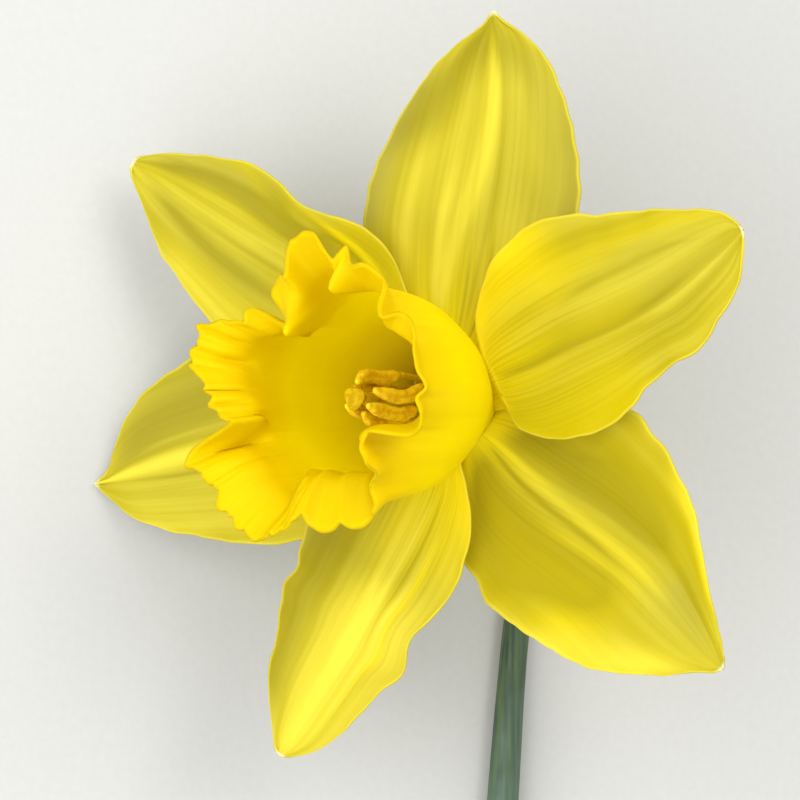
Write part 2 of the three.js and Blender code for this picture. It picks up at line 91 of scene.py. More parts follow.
# A curve through points that is read by its share of length; tightness 0 is even, 0.5 follows the spacing
def curveThrough(points, tightness):
    dots = [Vector(p) for p in points]
    dots = [2 * dots[0] - dots[1]] + dots + [2 * dots[-1] - dots[-2]]
    steps = 24
    trace = []
    for i in range(1, len(dots) - 2):
        a, b, c, d = dots[i - 1:i + 3]
        ab, bc, cd = [max((q - p).length, 1e-6) ** tightness for p, q in ((a, b), (b, c), (c, d))]
        out = ((b - a) / ab - (c - a) / (ab + bc)) * bc + (c - b)
        into = (c - b) + ((d - c) / cd - (d - b) / (bc + cd)) * bc
        for k in range(steps):
            t = k / steps
            start = (1 - t) ** 2 * ((1 + 2 * t) * b + t * out)
            trace.append(start + t ** 2 * ((3 - 2 * t) * c - (1 - t) * into))
    trace.append(dots[-2])
    reach = [0]
    for p, q in zip(trace, trace[1:]):
        reach.append(reach[-1] + (q - p).length)

    def placeAt(share):
        target = clamp(share, 0, 1) * reach[-1]
        k = 1
        while k < len(reach) - 1 and reach[k] < target:
            k += 1
        return trace[k - 1].lerp(trace[k], (target - reach[k - 1]) / (reach[k] - reach[k - 1]))

    return placeAt


# Materials

def tint(hexColour):
    parts = [int(hexColour[i:i + 2], 16) / 255 for i in (1, 3, 5)]
    return [c / 12.92 if c <= 0.04045 else ((c + 0.055) / 1.055) ** 2.4 for c in parts] + [1]


# Adds a node: a setting is a property or an input, and an input takes a value, a hex colour,
# a socket that feeds it, or a node whose first output does
def addNode(tree, kind, settings):
    made = tree.nodes.new("ShaderNode" + kind)
    for name, value in settings.items():
        if isinstance(value, bpy.types.Node):
            value = value.outputs[0]
        if isinstance(name, str) and name not in made.inputs:
            setattr(made, name, value)
        elif isinstance(value, bpy.types.NodeSocket):
            tree.links.new(value, made.inputs[name])
        else:
            made.inputs[name].default_value = tint(value) if isinstance(value, str) else value
    return made


def newMaterial(name):
    made = bpy.data.materials.new(name)
    made.use_nodes = True
    made.node_tree.nodes.clear()
    return made, made.node_tree


# Lays coats of colour over a base, each by its own factor
def layCoats(tree, base, coats):
    for factor, colour in coats:
        base = addNode(tree, "Mix", {"data_type": "RGBA", 0: factor, 6: base, 7: colour}).outputs[2]
    return base


# The skin of a material; thin wet tissue also glows when light comes through it from behind
def finishSkin(made, colour, bump, skin, through=0):
    tree = made.node_tree
    surface = addNode(tree, "BsdfPrincipled", {**skin, "Base Color": colour, "Normal": bump})
    if through:
        glow = addNode(tree, "BsdfTranslucent", {"Color": colour, "Normal": bump})
        surface = addNode(tree, "MixShader", {0: through, 1: surface, 2: glow})
    addNode(tree, "OutputMaterial", {"Surface": surface})
    return made


# Lemon petal: satin skin with fine parallel veins, golden at the root and white at the very tip, with
# painted shade in its furrows and painted highlights on its ridges
# Its veins stand 0.06 mm proud, and the skin's cells are 0.2 mm across
petalLook = {
    # The ridges' painted highlight
    "highlightYellow": "#f2e448",
    "pale": "#d2c538",
    "lemon": "#c2b31c",
    "gold": "#fbe600",
    "vein": "#ad9c08",
    # The furrows' painted shade
    "shadeOlive": "#94860e",
    "grey": "#b3aa48",
    "edge": "#f6e84c",
    "tip": "#f8f4c0",
    "backRoot": "#c3c63e",
    "veinStretch": (30, 1.3, 1),
    "streakStretch": (6, 0.8, 1),
    "cellsPerMetre": 4500,
    "skin": {"Roughness": 0.5, "IOR": 1.42, "Specular IOR Level": 0.09},
    "through": 0.34,
}


def petalMaterial(name, back):
    look = petalLook
    made, tree = newMaterial(name)
    place = addNode(tree, "Attribute", {"attribute_name": "petalPlace"}).outputs["Vector"]
    # The second layer holds painted shade and painted highlight, the third the hue
    edge, paintedTone, warm = [addNode(tree, "Attribute", {"attribute_name": layer}).outputs["Fac"]
                        for layer in ("edge", "paintedTone", "warm")]
    along = addNode(tree, "SeparateXYZ", {0: place}).outputs[1]
    veins = addNode(tree, "Mapping", {"Scale": look["veinStretch"], "Vector": place})
    veins = addNode(tree, "TexNoise", {"Scale": 1, "Detail": 3, "Roughness": 0.6, "Vector": veins})
    streaks = addNode(tree, "Mapping", {"Scale": look["streakStretch"], "Vector": place})
    streaks = addNode(tree, "TexNoise", {"Scale": 1, "Detail": 2, "Vector": streaks})
    # Broad pale streaks, greyed at some margins, gold at the root and where the painted warmth is
    pale = addNode(tree, "MapRange", {"From Min": 0.36, "From Max": 0.62, "Value": streaks})
    grey = addNode(tree, "MapRange", {"From Min": 0, "From Max": -1, "To Max": 0.85, "Value": warm})
    atRoot = addNode(tree, "MapRange", {"From Min": 0.38, "From Max": 0.06, "To Max": 0.85, "Value": along})
    golden = addNode(tree, "MapRange", {"From Min": 0, "From Max": 1, "To Max": 0.9, "Value": warm})
    golden = addNode(tree, "Math", {"operation": "MAXIMUM", 0: atRoot, 1: golden})
    # Veins fade toward the tip and the side edges
    inVein = addNode(tree, "MapRange", {"From Min": 0.53, "From Max": 0.34, "Value": veins})
    fade = addNode(tree, "MapRange", {
        "From Min": 0.8, "From Max": 0.1, "To Min": 0.21, "To Max": 0.39, "Value": along})
    middle = addNode(tree, "MapRange", {"From Min": 0.95, "From Max": 0.3, "To Min": 0.3, "Value": edge})
    fade = addNode(tree, "Math", {"operation": "MULTIPLY", 0: fade, 1: middle})
    inVein = addNode(tree, "Math", {"operation": "MULTIPLY", 0: inVein, 1: fade})
    # Painted shade makes the furrows olive, and a painted highlight brightens the ridges where the streaks
    # let them
    furrowShade = addNode(tree, "MapRange", {"From Min": 0, "From Max": -1, "To Max": 0.62, "Value": paintedTone})
    ridgeHighlight = addNode(tree, "MapRange", {"From Min": 0, "From Max": 1, "To Max": 0.9, "Value": paintedTone})
    broken = addNode(tree, "MapRange", {"From Min": 0.3, "From Max": 0.6, "To Min": 0.5, "Value": streaks})
    ridgeHighlight = addNode(tree, "Math", {"operation": "MULTIPLY", 0: ridgeHighlight, 1: broken})
    coats = [(pale, look["pale"]), (grey, look["grey"]), (golden, look["gold"]), (inVein, look["vein"]),
             (furrowShade, look["shadeOlive"]), (ridgeHighlight, look["highlightYellow"])]
    if back:
        middle = addNode(tree, "MapRange", {"From Min": 0.35, "From Max": 0.02, "Value": edge})
        green = addNode(tree, "MapRange", {"From Min": 0.7, "From Max": 0, "To Max": 0.9, "Value": along})
        green = addNode(tree, "Math", {"operation": "MULTIPLY", 0: middle, 1: green})
        coats.append((green, look["backRoot"]))
    thinEdge = addNode(tree, "MapRange", {
        "From Min": 0.968, "From Max": 0.99, "To Max": 0.55, "Value": edge})
    white = addNode(tree, "MapRange", {"From Min": 0.978, "From Max": 0.995, "Value": along})
    coats += [(thinEdge, look["edge"]), (white, look["tip"])]
    colour = layCoats(tree, look["lemon"], coats)
    where = addNode(tree, "TexCoord", {}).outputs["Object"]
    cells = addNode(tree, "TexNoise", {"Scale": look["cellsPerMetre"], "Detail": 1, "Vector": where})
    ribs = addNode(tree, "Bump", {"Strength": 0.35, "Distance": 0.06 * mm, "Height": veins})
    bump = addNode(tree, "Bump", {"Strength": 0.1, "Distance": 0.04 * mm, "Height": cells, "Normal": ribs})
    return finishSkin(made, colour, bump, look["skin"], look["through"])


# Trumpet: the same tissue, thicker and a deep egg yellow, with fine ribs running up to the frill; its inside
# is painted lighter as painted light against the shade in the cup
trumpetLook = {
    "outside": ("#fce600", "#feee00"),
    # Painted light: the inside is lighter than the outside to offset the shade in the cup
    "inside": ("#fcf000", "#fdf400"),
    # Deeper toward the frill: partly the frill's own colour, partly painted shade on its well-lit faces
    "rim": ("#f6da00", "#e8ce00"),
    # Painted shade on the very lip, damping the bright line where light catches the edge
    "lip": "#dcc200",
    "throat": "#d8c420",
    "ribStretch": (14, 14, 0.9),
    "cellsPerMetre": 3500,
    "skin": {"Roughness": 0.5, "IOR": 1.42, "Specular IOR Level": 0.09},
    "through": 0.34,
}


def trumpetMaterial(name, inside):
    look = trumpetLook
    made, tree = newMaterial(name)
    place = addNode(tree, "Attribute", {"attribute_name": "wallPlace"}).outputs["Vector"]
    along = addNode(tree, "SeparateXYZ", {0: place}).outputs[2]
    ribs = addNode(tree, "Mapping", {"Scale": look["ribStretch"], "Vector": place})
    ribs = addNode(tree, "TexNoise", {"Scale": 1, "Detail": 2, "Vector": ribs})
    tone = addNode(tree, "MapRange", {"From Min": 0.35, "From Max": 0.65, "To Max": 0.45, "Value": ribs})
    # Toward the frill the colour deepens, partly painted shade, and the very lip takes painted shade
    rimTintAndShade = addNode(tree, "MapRange", {"From Min": 0.6, "From Max": 0.84, "Value": along})
    lipShade = addNode(tree, "MapRange", {"From Min": 0.997, "From Max": 0.9995, "Value": along})
    # The inside's lighter colours are painted light for the shaded cup
    low, high = look["inside"] if inside else look["outside"]
    coats = [(tone, high), (rimTintAndShade, look["rim"][inside]), (lipShade, look["lip"])]
    if inside:
        deepDown = addNode(tree, "MapRange", {"From Min": 0.42, "From Max": 0.02, "Value": along})
        coats.append((deepDown, look["throat"]))
    colour = layCoats(tree, low, coats)
    where = addNode(tree, "TexCoord", {}).outputs["Object"]
    cells = addNode(tree, "TexNoise", {"Scale": look["cellsPerMetre"], "Detail": 1, "Vector": where})
    lines = addNode(tree, "Bump", {"Strength": 0.4, "Distance": 0.1 * mm, "Height": ribs})
    bump = addNode(tree, "Bump", {"Strength": 0.1, "Distance": 0.04 * mm, "Height": cells, "Normal": lines})
    return finishSkin(made, colour, bump, look["skin"], look["through"])


# Stem: waxy green skin with a pale bloom, drawn into lengthwise lines about 0.6 mm apart
stemLook = {
    "dark": "#2f4336",
    "green": "#4c603c",
    "bloom": "#5c7163",
    "turn": (0, 0, 0),
    "linesPerMetre": (1600, 60, 1600),
}
# Ovary and pedicel: the same skin, younger and brighter, its lines 1.1 mm apart along the bloom's axis
ovaryLook = {
    "dark": "#557a3c",
    "green": "#769a4c",
    "bloom": "#93ac74",
    "turn": (0, radians(bloom["lean"]), 0),
    "linesPerMetre": (900, 900, 60),
}
greenSkin = {"Roughness": 0.45, "IOR": 1.45, "Specular IOR Level": 0.4}


def stemMaterial(name, look):
    made, tree = newMaterial(name)
    where = addNode(tree, "TexCoord", {}).outputs["Object"]
    lines = addNode(tree, "Mapping", {"Rotation": look["turn"], "Vector": where})
    lines = addNode(tree, "Mapping", {"Scale": look["linesPerMetre"], "Vector": lines})
    lines = addNode(tree, "TexNoise", {"Scale": 1, "Detail": 2, "Vector": lines})
    patches = addNode(tree, "TexNoise", {"Scale": 120, "Detail": 2, "Vector": where})
    tone = addNode(tree, "MapRange", {"From Min": 0.35, "From Max": 0.65, "Value": lines})
    wax = addNode(tree, "MapRange", {"From Min": 0.42, "From Max": 0.7, "To Max": 0.55, "Value": patches})
    colour = layCoats(tree, look["dark"], [(tone, look["green"]), (wax, look["bloom"])])
    bump = addNode(tree, "Bump", {"Strength": 0.4, "Distance": 0.1 * mm, "Height": lines})
    return finishSkin(made, colour, bump, greenSkin)


# Pith of the cut end: damp, pale and spongy, with pores of 0.3 mm
pithLook = {"dark": "#a9bd78", "pale": "#cfd8a4", "poresPerMetre": 3300,
            "skin": {"Roughness": 0.4, "IOR": 1.4}}


def pithMaterial(name, look):
    made, tree = newMaterial(name)
    where = addNode(tree, "TexCoord", {}).outputs["Object"]
    pores = addNode(tree, "TexVoronoi", {"Scale": look["poresPerMetre"], "Vector": where})
    tone = addNode(tree, "MapRange", {"From Max": 0.6, "Value": pores})
    colour = layCoats(tree, look["dark"], [(tone, look["pale"])])
    bump = addNode(tree, "Bump", {"Strength": 0.5, "Distance": 0.1 * mm, "Height": pores})
    return finishSkin(made, colour, bump, look["skin"])


# Tube: the tissue of the petals, thick, and green toward the ovary
tubeLook = {"yellow": "#d3c534", "green": "#93a744", "ribStretch": (8, 8, 1.2),
            "skin": {"Roughness": 0.5, "IOR": 1.42}, "through": 0.15}


def tubeMaterial(name, look):
    made, tree = newMaterial(name)
    place = addNode(tree, "Attribute", {"attribute_name": "wallPlace"}).outputs["Vector"]
    along = addNode(tree, "SeparateXYZ", {0: place}).outputs[2]
    ribs = addNode(tree, "Mapping", {"Scale": look["ribStretch"], "Vector": place})
    ribs = addNode(tree, "TexNoise", {"Scale": 1, "Detail": 2, "Vector": ribs})
    upward = addNode(tree, "MapRange", {"From Min": 0.15, "From Max": 0.95, "Value": along})
    tone = addNode(tree, "MapRange", {"From Min": 0.4, "From Max": 0.7, "To Max": 0.2, "Value": ribs})
    colour = layCoats(tree, look["green"], [(upward, look["yellow"]), (tone, look["green"])])
    bump = addNode(tree, "Bump", {"Strength": 0.4, "Distance": 0.2 * mm, "Height": ribs})
    return finishSkin(made, colour, bump, look["skin"], look["through"])


# Sheath: dry brown papery skin, half see-through, with parallel veins 0.8 mm apart
sheathLook = {"straw": "#c9ab78", "brown": "#8f6a3d", "vein": "#6d4d2a", "veinStretch": (9, 0.8, 1),
              "stainStretch": (1.2, 2.2, 1), "skin": {"Roughness": 0.7, "IOR": 1.45}, "through": 0.35}


def sheathMaterial(name, look):
    made, tree = newMaterial(name)
    place = addNode(tree, "Attribute", {"attribute_name": "petalPlace"}).outputs["Vector"]
    veins = addNode(tree, "Mapping", {"Scale": look["veinStretch"], "Vector": place})
    veins = addNode(tree, "TexNoise", {"Scale": 1, "Detail": 3, "Vector": veins})
    stains = addNode(tree, "Mapping", {"Scale": look["stainStretch"], "Vector": place})
    stains = addNode(tree, "TexNoise", {"Scale": 1.4, "Detail": 4, "Vector": stains})
    tone = addNode(tree, "MapRange", {"From Min": 0.38, "From Max": 0.62, "Value": stains})
    inVein = addNode(tree, "MapRange", {"From Min": 0.48, "From Max": 0.34, "To Max": 0.7, "Value": veins})
    colour = layCoats(tree, look["straw"], [(tone, look["brown"]), (inVein, look["vein"])])
    bump = addNode(tree, "Bump", {"Strength": 0.7, "Distance": 0.2 * mm, "Height": veins})
    return finishSkin(made, colour, bump, look["skin"], look["through"])


# Ripe anther: matt golden pollen in grains, coarser here than the real 0.04 mm so that they show
pollenLook = {"gold": "#ffe022", "brown": "#e6ba1c", "grain": 0.16, "lumpsPerMetre": 900,
              "skin": {"Roughness": 0.9, "Specular IOR Level": 0.15}}


def pollenMaterial(name, look):
    made, tree = newMaterial(name)
    where = addNode(tree, "TexCoord", {}).outputs["Object"]
    grains = addNode(tree, "TexVoronoi", {"Scale": 1 / (look["grain"] * mm), "Vector": where})
    lumps = addNode(tree, "TexNoise", {"Scale": look["lumpsPerMetre"], "Detail": 3, "Vector": where})
    tone = addNode(tree, "MapRange", {"From Min": 0.34, "From Max": 0.56, "Value": lumps})
    slit = addNode(tree, "Attribute", {"attribute_name": "slit"}).outputs["Fac"]
    colour = layCoats(tree, look["brown"], [(tone, look["gold"]), (slit, look["brown"])])
    rough = addNode(tree, "Bump", {"Strength": 0.8, "Distance": 0.1 * mm, "Height": grains})
    bump = addNode(tree, "Bump", {"Strength": 0.6, "Distance": 0.3 * mm, "Height": lumps, "Normal": rough})
    return finishSkin(made, colour, bump, look["skin"])


# Filament, style and stigma: smooth moist stalks, clouded with a deeper yellow in patches of this many mm
filamentLook = {"colour": "#dcc020", "shade": "#c8a818", "patch": 1.5,
                "skin": {"Roughness": 0.5, "IOR": 1.4, "Specular IOR Level": 0.12}}
stigmaLook = {"colour": "#cca800", "shade": "#b49000", "patch": 0.7,
              "skin": {"Roughness": 0.6, "IOR": 1.4, "Specular IOR Level": 0.12}}


def stalkMaterial(name, look):
    made, tree = newMaterial(name)
    where = addNode(tree, "TexCoord", {}).outputs["Object"]
    cloud = addNode(tree, "TexNoise", {"Scale": 1 / (look["patch"] * mm), "Detail": 2, "Vector": where})
    tone = addNode(tree, "MapRange", {"From Min": 0.38, "From Max": 0.6, "Value": cloud})
    colour = layCoats(tree, look["shade"], [(tone, look["colour"])])
    bump = addNode(tree, "Bump", {"Strength": 0.4, "Distance": 0.05 * mm, "Height": cloud})
    return finishSkin(made, colour, bump, look["skin"])


petalFront = petalMaterial("petalFront", False)
petalBack = petalMaterial("petalBack", True)
trumpetOutside = trumpetMaterial("trumpetOutside", False)
trumpetInside = trumpetMaterial("trumpetInside", True)
stemSkin = stemMaterial("stemSkin", stemLook)
ovarySkin = stemMaterial("ovarySkin", ovaryLook)
stemPith = pithMaterial("stemPith", pithLook)
tubeTissue = tubeMaterial("tubeTissue", tubeLook)
driedSheath = sheathMaterial("driedSheath", sheathLook)
pollen = pollenMaterial("pollen", pollenLook)
filamentSkin = stalkMaterial("filamentSkin", filamentLook)
stigmaSkin = stalkMaterial("stigmaSkin", stigmaLook)
print("materials made")


# Finishing a piece: its mesh, materials, the body it rides on and the node it stands for
def finishPiece(name, bm, place, materials, node):
    bmesh.ops.transform(bm, matrix=Matrix.Scale(mm, 4) @ place, verts=bm.verts)
    for face in bm.faces:
        face.smooth = True
    mesh = bpy.data.meshes.new(name)
    bm.to_mesh(mesh)
    bm.free()
    piece = bpy.data.objects.new(name, mesh)
    bpy.context.scene.collection.objects.link(piece)
    for material in materials:
        mesh.materials.append(material)
    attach(piece, "root")
    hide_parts(node)
    return piece


# A sheet gets its thickness by a painted share, so that it can thin out toward its edges
def thicken(piece, thickness, shareAt, backSlot):
    group = piece.vertex_groups.new(name="thickness")
    for vertex in piece.data.vertices:
        group.add([vertex.index], shareAt(vertex.index), "REPLACE")
    solid = piece.modifiers.new("thickness", "SOLIDIFY")
    solid.thickness = thickness * mm
    solid.offset = 0
    solid.use_even_offset = True
    solid.use_quality_normals = True
    solid.vertex_group = "thickness"
    solid.material_offset = backSlot
    return piece


# Petals: drawn flat as [distance from the throat, distance to the side] for the left and right edge
# and the rib, then sloped by height and rise, cupped, and bent by bumps of
# [along, across, spread along, spread across, lift], with across from -1 (right) to 1 (left)
# Folds are [half width, lift, tone, warmth, path], where the path is [along, across], the tone is painted
# shade and painted highlight running from -1, olive shade, to 1, a bright highlight, and the warmth from -1,
# a greyed green, to 1, gold
petalSheet = {
    "across": 84, "along": 150, "thickness": 0.7, "edgeShare": 0.45, "thinFrom": 0.7, "tipShare": 0.997,
    # Past the outline's start the sheet dips into the tube
    "rootReach": 0.045, "rootRun": 45, "rootDrop": 1.5, "rootNarrows": 0.15,
    # Folds rise and die out over these shares of the length, and slow noise makes the rest uneven
    "foldShare": 0.65, "foldIn": 0.15, "foldOut": 0.18, "unevenness": 0.22, "unevenScale": (3.2, 2.2),
    # Notches and ripples grow toward the side edges by this power
    "edgePower": 4, "notch": 0.03, "notchScale": 18, "rippleScale": 34, "rippleWander": 5,
    "veinFollow": 0.55,
}
petals = {
    "petalOuterTop": {
        "node": "petal_outer_top", "azimuth": 83, "height": -1.4, "rise": 0.035, "cup": 1.2,
        "left": [(6.1, 4), (10, 8.6), (15, 12.8), (22, 15), (28, 14.2), (36, 11.3), (42, 7.8), (45.5, 4.8),
                 (47.6, 2.2), (48.8, 0.9), (50.5, 0)],
        "right": [(6.1, -4), (10, -8), (15, -11.5), (21, -13.6), (27, -14.4), (33, -13.5), (40, -10.7),
                  (44.5, -8.2), (47.5, -4.8), (49.3, -1.4), (50.5, 0)],
        "rib": [(5, 0.5), (15, 0.9), (25, 0.9), (38, 0), (50.5, 0)],
        "bumps": [(0.5, 1, 0.12, 0.4, 0.6), (0.75, -1, 0.1, 0.4, -0.6)],
        "folds": [
            (0.09, 0.5, 1.1, 0.1, [(0.08, 0.32), (0.3, 0.13), (0.5, -0.03), (0.7, -0.09), (0.85, -0.05),
                                   (0.98, 0)]),
            (0.15, 0.35, 0.45, 0, [(0.16, 0.72), (0.32, 0.62), (0.5, 0.55), (0.66, 0.42)]),
            (0.07, 0, 0.6, 0, [(0.1, 0.32), (0.35, 0.24), (0.6, 0.16)]),
            (0.24, -0.35, -0.2, -0.1, [(0.55, 0.6), (0.72, 0.42), (0.85, 0.27), (0.97, 0.2)]),
            (0.24, 0, -0.75, -0.1, [(0.5, 0.9), (0.66, 0.74), (0.8, 0.62), (0.9, 0.5), (1.05, 0.2)]),
            (0.5, 0, -0.75, 0, [(0.72, -0.1), (0.85, -0.1), (1.1, 0)]),
            (0.22, 0, 0.4, 0, [(0.3, 0.22), (0.5, 0.2), (0.66, 0.24), (0.85, 0.15)]),
            (0.3, 0, 0.4, 0, [(0.12, -0.55), (0.3, -0.55), (0.52, -0.6)]),
            (0.16, 0, -0.25, -0.9, [(0.25, 1), (0.5, 0.95), (0.85, 0.97)]),
            (0.035, -0.2, -0.5, 0.1, [(0.02, -0.12), (0.3, -0.17), (0.5, -0.21), (0.7, -0.2),
                                      (0.92, -0.2)]),
            (0.02, 0, -1, 0.2, [(-0.05, -0.3), (0.15, -0.3), (0.42, -0.26)]),
            (0.018, 0, -0.8, 0.2, [(-0.05, 0), (0.15, -0.06), (0.4, -0.08)]),
            (0.14, 0.25, 0.35, 0, [(0.42, -0.62), (0.6, -0.52), (0.88, -0.4)]),
            (0.35, 0, 0, -0.45, [(0.3, -0.8), (0.6, -0.7), (0.95, -0.6)]),
            (0.1, -0.2, -0.3, -0.3, [(0.25, -0.97), (0.5, -0.93), (0.8, -0.95)]),
        ],
        "ripple": 0.15,
    },
    "petalOuterLowerRight": {
        "node": "petal_outer_lower_right", "azimuth": -42.7, "height": -1.4, "rise": 0.03, "cup": 1.4,
        "left": [(6.1, 4), (9, 8.6), (12.5, 13), (18.5, 15.3), (23, 15.4), (28, 14.2), (33, 12.2), (37, 9.6),
                 (42, 6.1), (45.5, 3.8), (48.3, 1.9), (49.6, 1), (50.3, 0)],
        "right": [(6.1, -5), (9, -9), (12, -12.2), (17, -14.9), (22, -16.1), (27, -15.6), (33, -14),
                  (37, -12.7), (41, -9.8), (45, -6.3), (48, -2.8), (49.6, -1.3), (50.3, 0)],
        "rib": [(5, -1.2), (13, -1.3), (18, -0.5), (23, 0.9), (28, 2), (34, 2.6), (43, 1.4), (50.3, 0)],
        "bumps": [(0.72, -1, 0.1, 0.4, 0.8), (0.6, 1, 0.12, 0.4, -0.6)],
        "folds": [
            (0.045, 0.35, 0.55, 0.1, [(0, 0.16), (0.15, 0.1), (0.3, 0.02), (0.42, -0.05), (0.62, -0.1),
                                      (0.78, -0.1)]),
            (0.03, -0.12, -0.9, 0.3, [(0, 0.03), (0.18, -0.03), (0.35, -0.1), (0.6, -0.18)]),
            (0.035, 0.18, 0.4, 0, [(0.3, -0.22), (0.5, -0.24), (0.75, -0.24)]),
            (0.2, -0.3, -1.1, 0, [(0.02, 0.32), (0.2, 0.32), (0.4, 0.3), (0.7, 0.25)]),
            (0.32, -0.4, -1.3, 0.8, [(-0.02, -0.35), (0.2, -0.42), (0.4, -0.5), (0.7, -0.42)]),
            (0.25, 0, -0.7, 0.6, [(-0.02, -0.95), (0.25, -0.95), (0.5, -0.85)]),
            (0.22, 0.5, 0.9, 0.3, [(0.42, -0.97), (0.7, -0.9), (0.94, -0.85)]),
            (0.16, 0.3, 0.7, 0.3, [(0.45, 1), (0.75, 0.97), (0.94, 0.9)]),
            (0.35, 0, 0, -0.7, [(0.6, 0.1), (0.8, 0.1), (0.99, 0)]),
            (0.4, 0, -0.8, 0.5, [(0.25, 0.6), (0.6, 0.6), (0.95, 0.5)]),
        ],
        "ripple": 0.2,
    },
    "petalOuterLeft": {
        "node": "petal_outer_left", "azimuth": -167.4, "height": -1.3, "rise": 0.006, "cup": 1.2,
        "left": [(6.1, 4), (9, 8), (13, 11.5), (19, 13.4), (26, 13.7), (31, 13), (38, 10.7), (44, 8.3),
                 (48.5, 5.8), (51, 3), (52.4, 1.3), (53.4, 0)],
        "right": [(6.1, -4), (9, -8.4), (13, -12), (20, -14.5), (28, -15), (35, -13.6), (40, -12.1),
                  (44, -10.1), (47.3, -7.2), (49.6, -3.8), (51.3, -1.2), (53.4, 0)],
        "rib": [(5, 0.5), (35, 0.6), (48, 0.3), (53.4, 0)],
        "bumps": [(0.6, 1, 0.12, 0.4, 0.6)],
        "folds": [
            (0.4, -0.2, -0.75, -0.5, [(0.4, -0.6), (0.65, -0.62), (0.97, -0.55)]),
            (0.1, 0.5, 1.2, 0.4, [(0.4, -0.08), (0.7, -0.12), (1.15, -0.03)]),
            (0.04, -0.25, -0.7, 0, [(0.4, 0.08), (0.7, 0.1), (0.9, 0.08)]),
            (0.03, 0, 0.5, 0, [(0.4, -0.3), (0.7, -0.34), (0.9, -0.3)]),
            (0.3, 0.3, 0.45, -0.2, [(0.3, 0.6), (0.6, 0.55), (0.97, 0.5)]),
            (0.3, 1, 0.4, 0.1, [(0.2, 1), (0.6, 1), (0.95, 1)]),
        ],
        "ripple": 0.15,
    },
    "petalInnerUpperRight": {
        "node": "petal_inner_upper_right", "azimuth": 26.9, "height": 0.6, "rise": 0.1, "cup": 1,
        "left": [(7.1, 3.4), (8, 6.6), (10.6, 10.2), (14.5, 13), (20.5, 14.2), (25, 13.3), (30, 10.9),
                 (36, 8.3), (41, 5.6), (44.2, 3.6), (45.6, 1.5), (46, 0)],
        "right": [(6.9, -5), (7.2, -8), (9, -10), (12, -12), (17, -13.4), (22, -12.8), (26.5, -11.2),
                  (30, -10.6), (34, -10.5), (38, -8.4), (42.3, -5.6), (45, -2), (46, 0)],
        "rib": [(5, -0.5), (12, -1.5), (18, -1.8), (26, -2.7), (34, -2.5), (41, -1.2), (46, 0)],
        "bumps": [(0.62, -1, 0.1, 0.4, 0.9), (0.4, 1, 0.12, 0.4, 0.6)],
        "folds": [
            (0.05, -0.16, -0.8, 0.2, [(0.02, 0), (0.3, 0), (0.5, 0.02), (0.8, 0.1)]),
            (0.04, -0.1, -0.6, 0.1, [(0.3, 0.3), (0.5, 0.42), (0.7, 0.5), (0.86, 0.45)]),
            (0.1, -0.12, -0.4, 0.5, [(0.3, 0.5), (0.5, 0.64), (0.7, 0.8), (0.85, 0.85), (0.98, 0.9)]),
            (0.1, 0.25, 0.3, 0, [(0.3, 0.15), (0.5, 0.2), (0.7, 0.27), (0.95, 0.25)]),
            (0.05, 0.1, -0.2, 0, [(0.45, 0.55), (0.6, 0.6), (0.8, 0.6)]),
            (0.08, 0.2, 0.5, 0, [(0.5, -0.14), (0.7, -0.1), (0.95, -0.06)]),
            (0.22, -0.3, -0.35, 0.1, [(0.4, -0.45), (0.6, -0.42), (0.85, -0.3)]),
            (0.5, 0, 0.1, 1, [(-0.05, 0.9), (0.15, 0.9), (0.5, 1)]),
            (0.6, 0, -0.7, 1, [(-0.05, -0.9), (0.2, -0.9), (0.55, -1)]),
            (0.5, 0, 0, -0.35, [(0.5, 0.1), (0.8, 0.1), (0.99, 0)]),
        ],
        "ripple": 0.2,
    },
    "petalInnerBottom": {
        "node": "petal_inner_bottom", "azimuth": -113.8, "height": 0.6, "rise": 0.14, "cup": 1,
        "left": [(7, 5.3), (9.7, 7.8), (13, 9.9), (17, 11.4), (22, 11.7), (26, 10.9), (29.3, 9.3),
                 (31.5, 9.3), (34.5, 10.4), (37, 9.1), (40, 8), (45, 6), (48.4, 3.9), (50.3, 1.4),
                 (50.9, 0)],
        "right": [(7.1, -3.6), (10, -7.2), (14, -9.5), (20, -10.6), (25.5, -9.9), (28.3, -9.1), (31, -9.5),
                  (33.5, -8.9), (36, -8.1), (41.7, -6.7), (47, -3.7), (50, -1.4), (50.9, 0)],
        "rib": [(5, 1.5), (10, 3.4), (18, 3.6), (29, 2.6), (37, 1.8), (44, 0.9), (50.9, 0)],
        "bumps": [(0.66, 1, 0.08, 0.4, 1.2), (0.55, 1, 0.06, 0.4, -0.8), (0.55, -1, 0.08, 0.4, 0.8)],
        "folds": [
            (0.6, 0.3, 0.85, 0.1, [(0.36, -0.05), (0.7, 0), (0.85, 0.05), (1.1, 0.05)]),
            (0.06, 0.3, 0.7, 0, [(0.1, -0.2), (0.3, -0.16), (0.5, -0.12), (0.7, -0.14)]),
            (0.05, 0.2, 0.6, 0, [(0.08, 0.06), (0.3, 0.02), (0.5, 0.02), (0.72, 0.05)]),
            (0.05, 0, 0.5, 0, [(0.15, 0.4), (0.35, 0.36), (0.6, 0.3)]),
            (0.32, -0.4, -0.95, -0.1, [(0.02, -0.55), (0.25, -0.65), (0.45, -0.72), (0.7, -0.85),
                                       (0.95, -0.9)]),
            (0.03, -0.2, -0.6, 0.1, [(0.05, 0.2), (0.3, 0.2), (0.6, 0.18)]),
            (0.06, 0.4, 0.4, 0, [(0.2, -0.8), (0.28, -0.85), (0.36, -0.98)]),
            (0.25, 0, -0.1, -0.8, [(0.05, -0.6), (0.25, -0.85), (0.5, -1)]),
            (0.07, 0, 0, 0.6, [(0.12, 0.42), (0.3, 0.42), (0.5, 0.45), (0.75, 0.5)]),
            (0.3, 0, 0.3, -0.1, [(0.3, 0.75), (0.5, 0.75), (0.7, 0.7)]),
        ],
        "ripple": 0.25,
    },
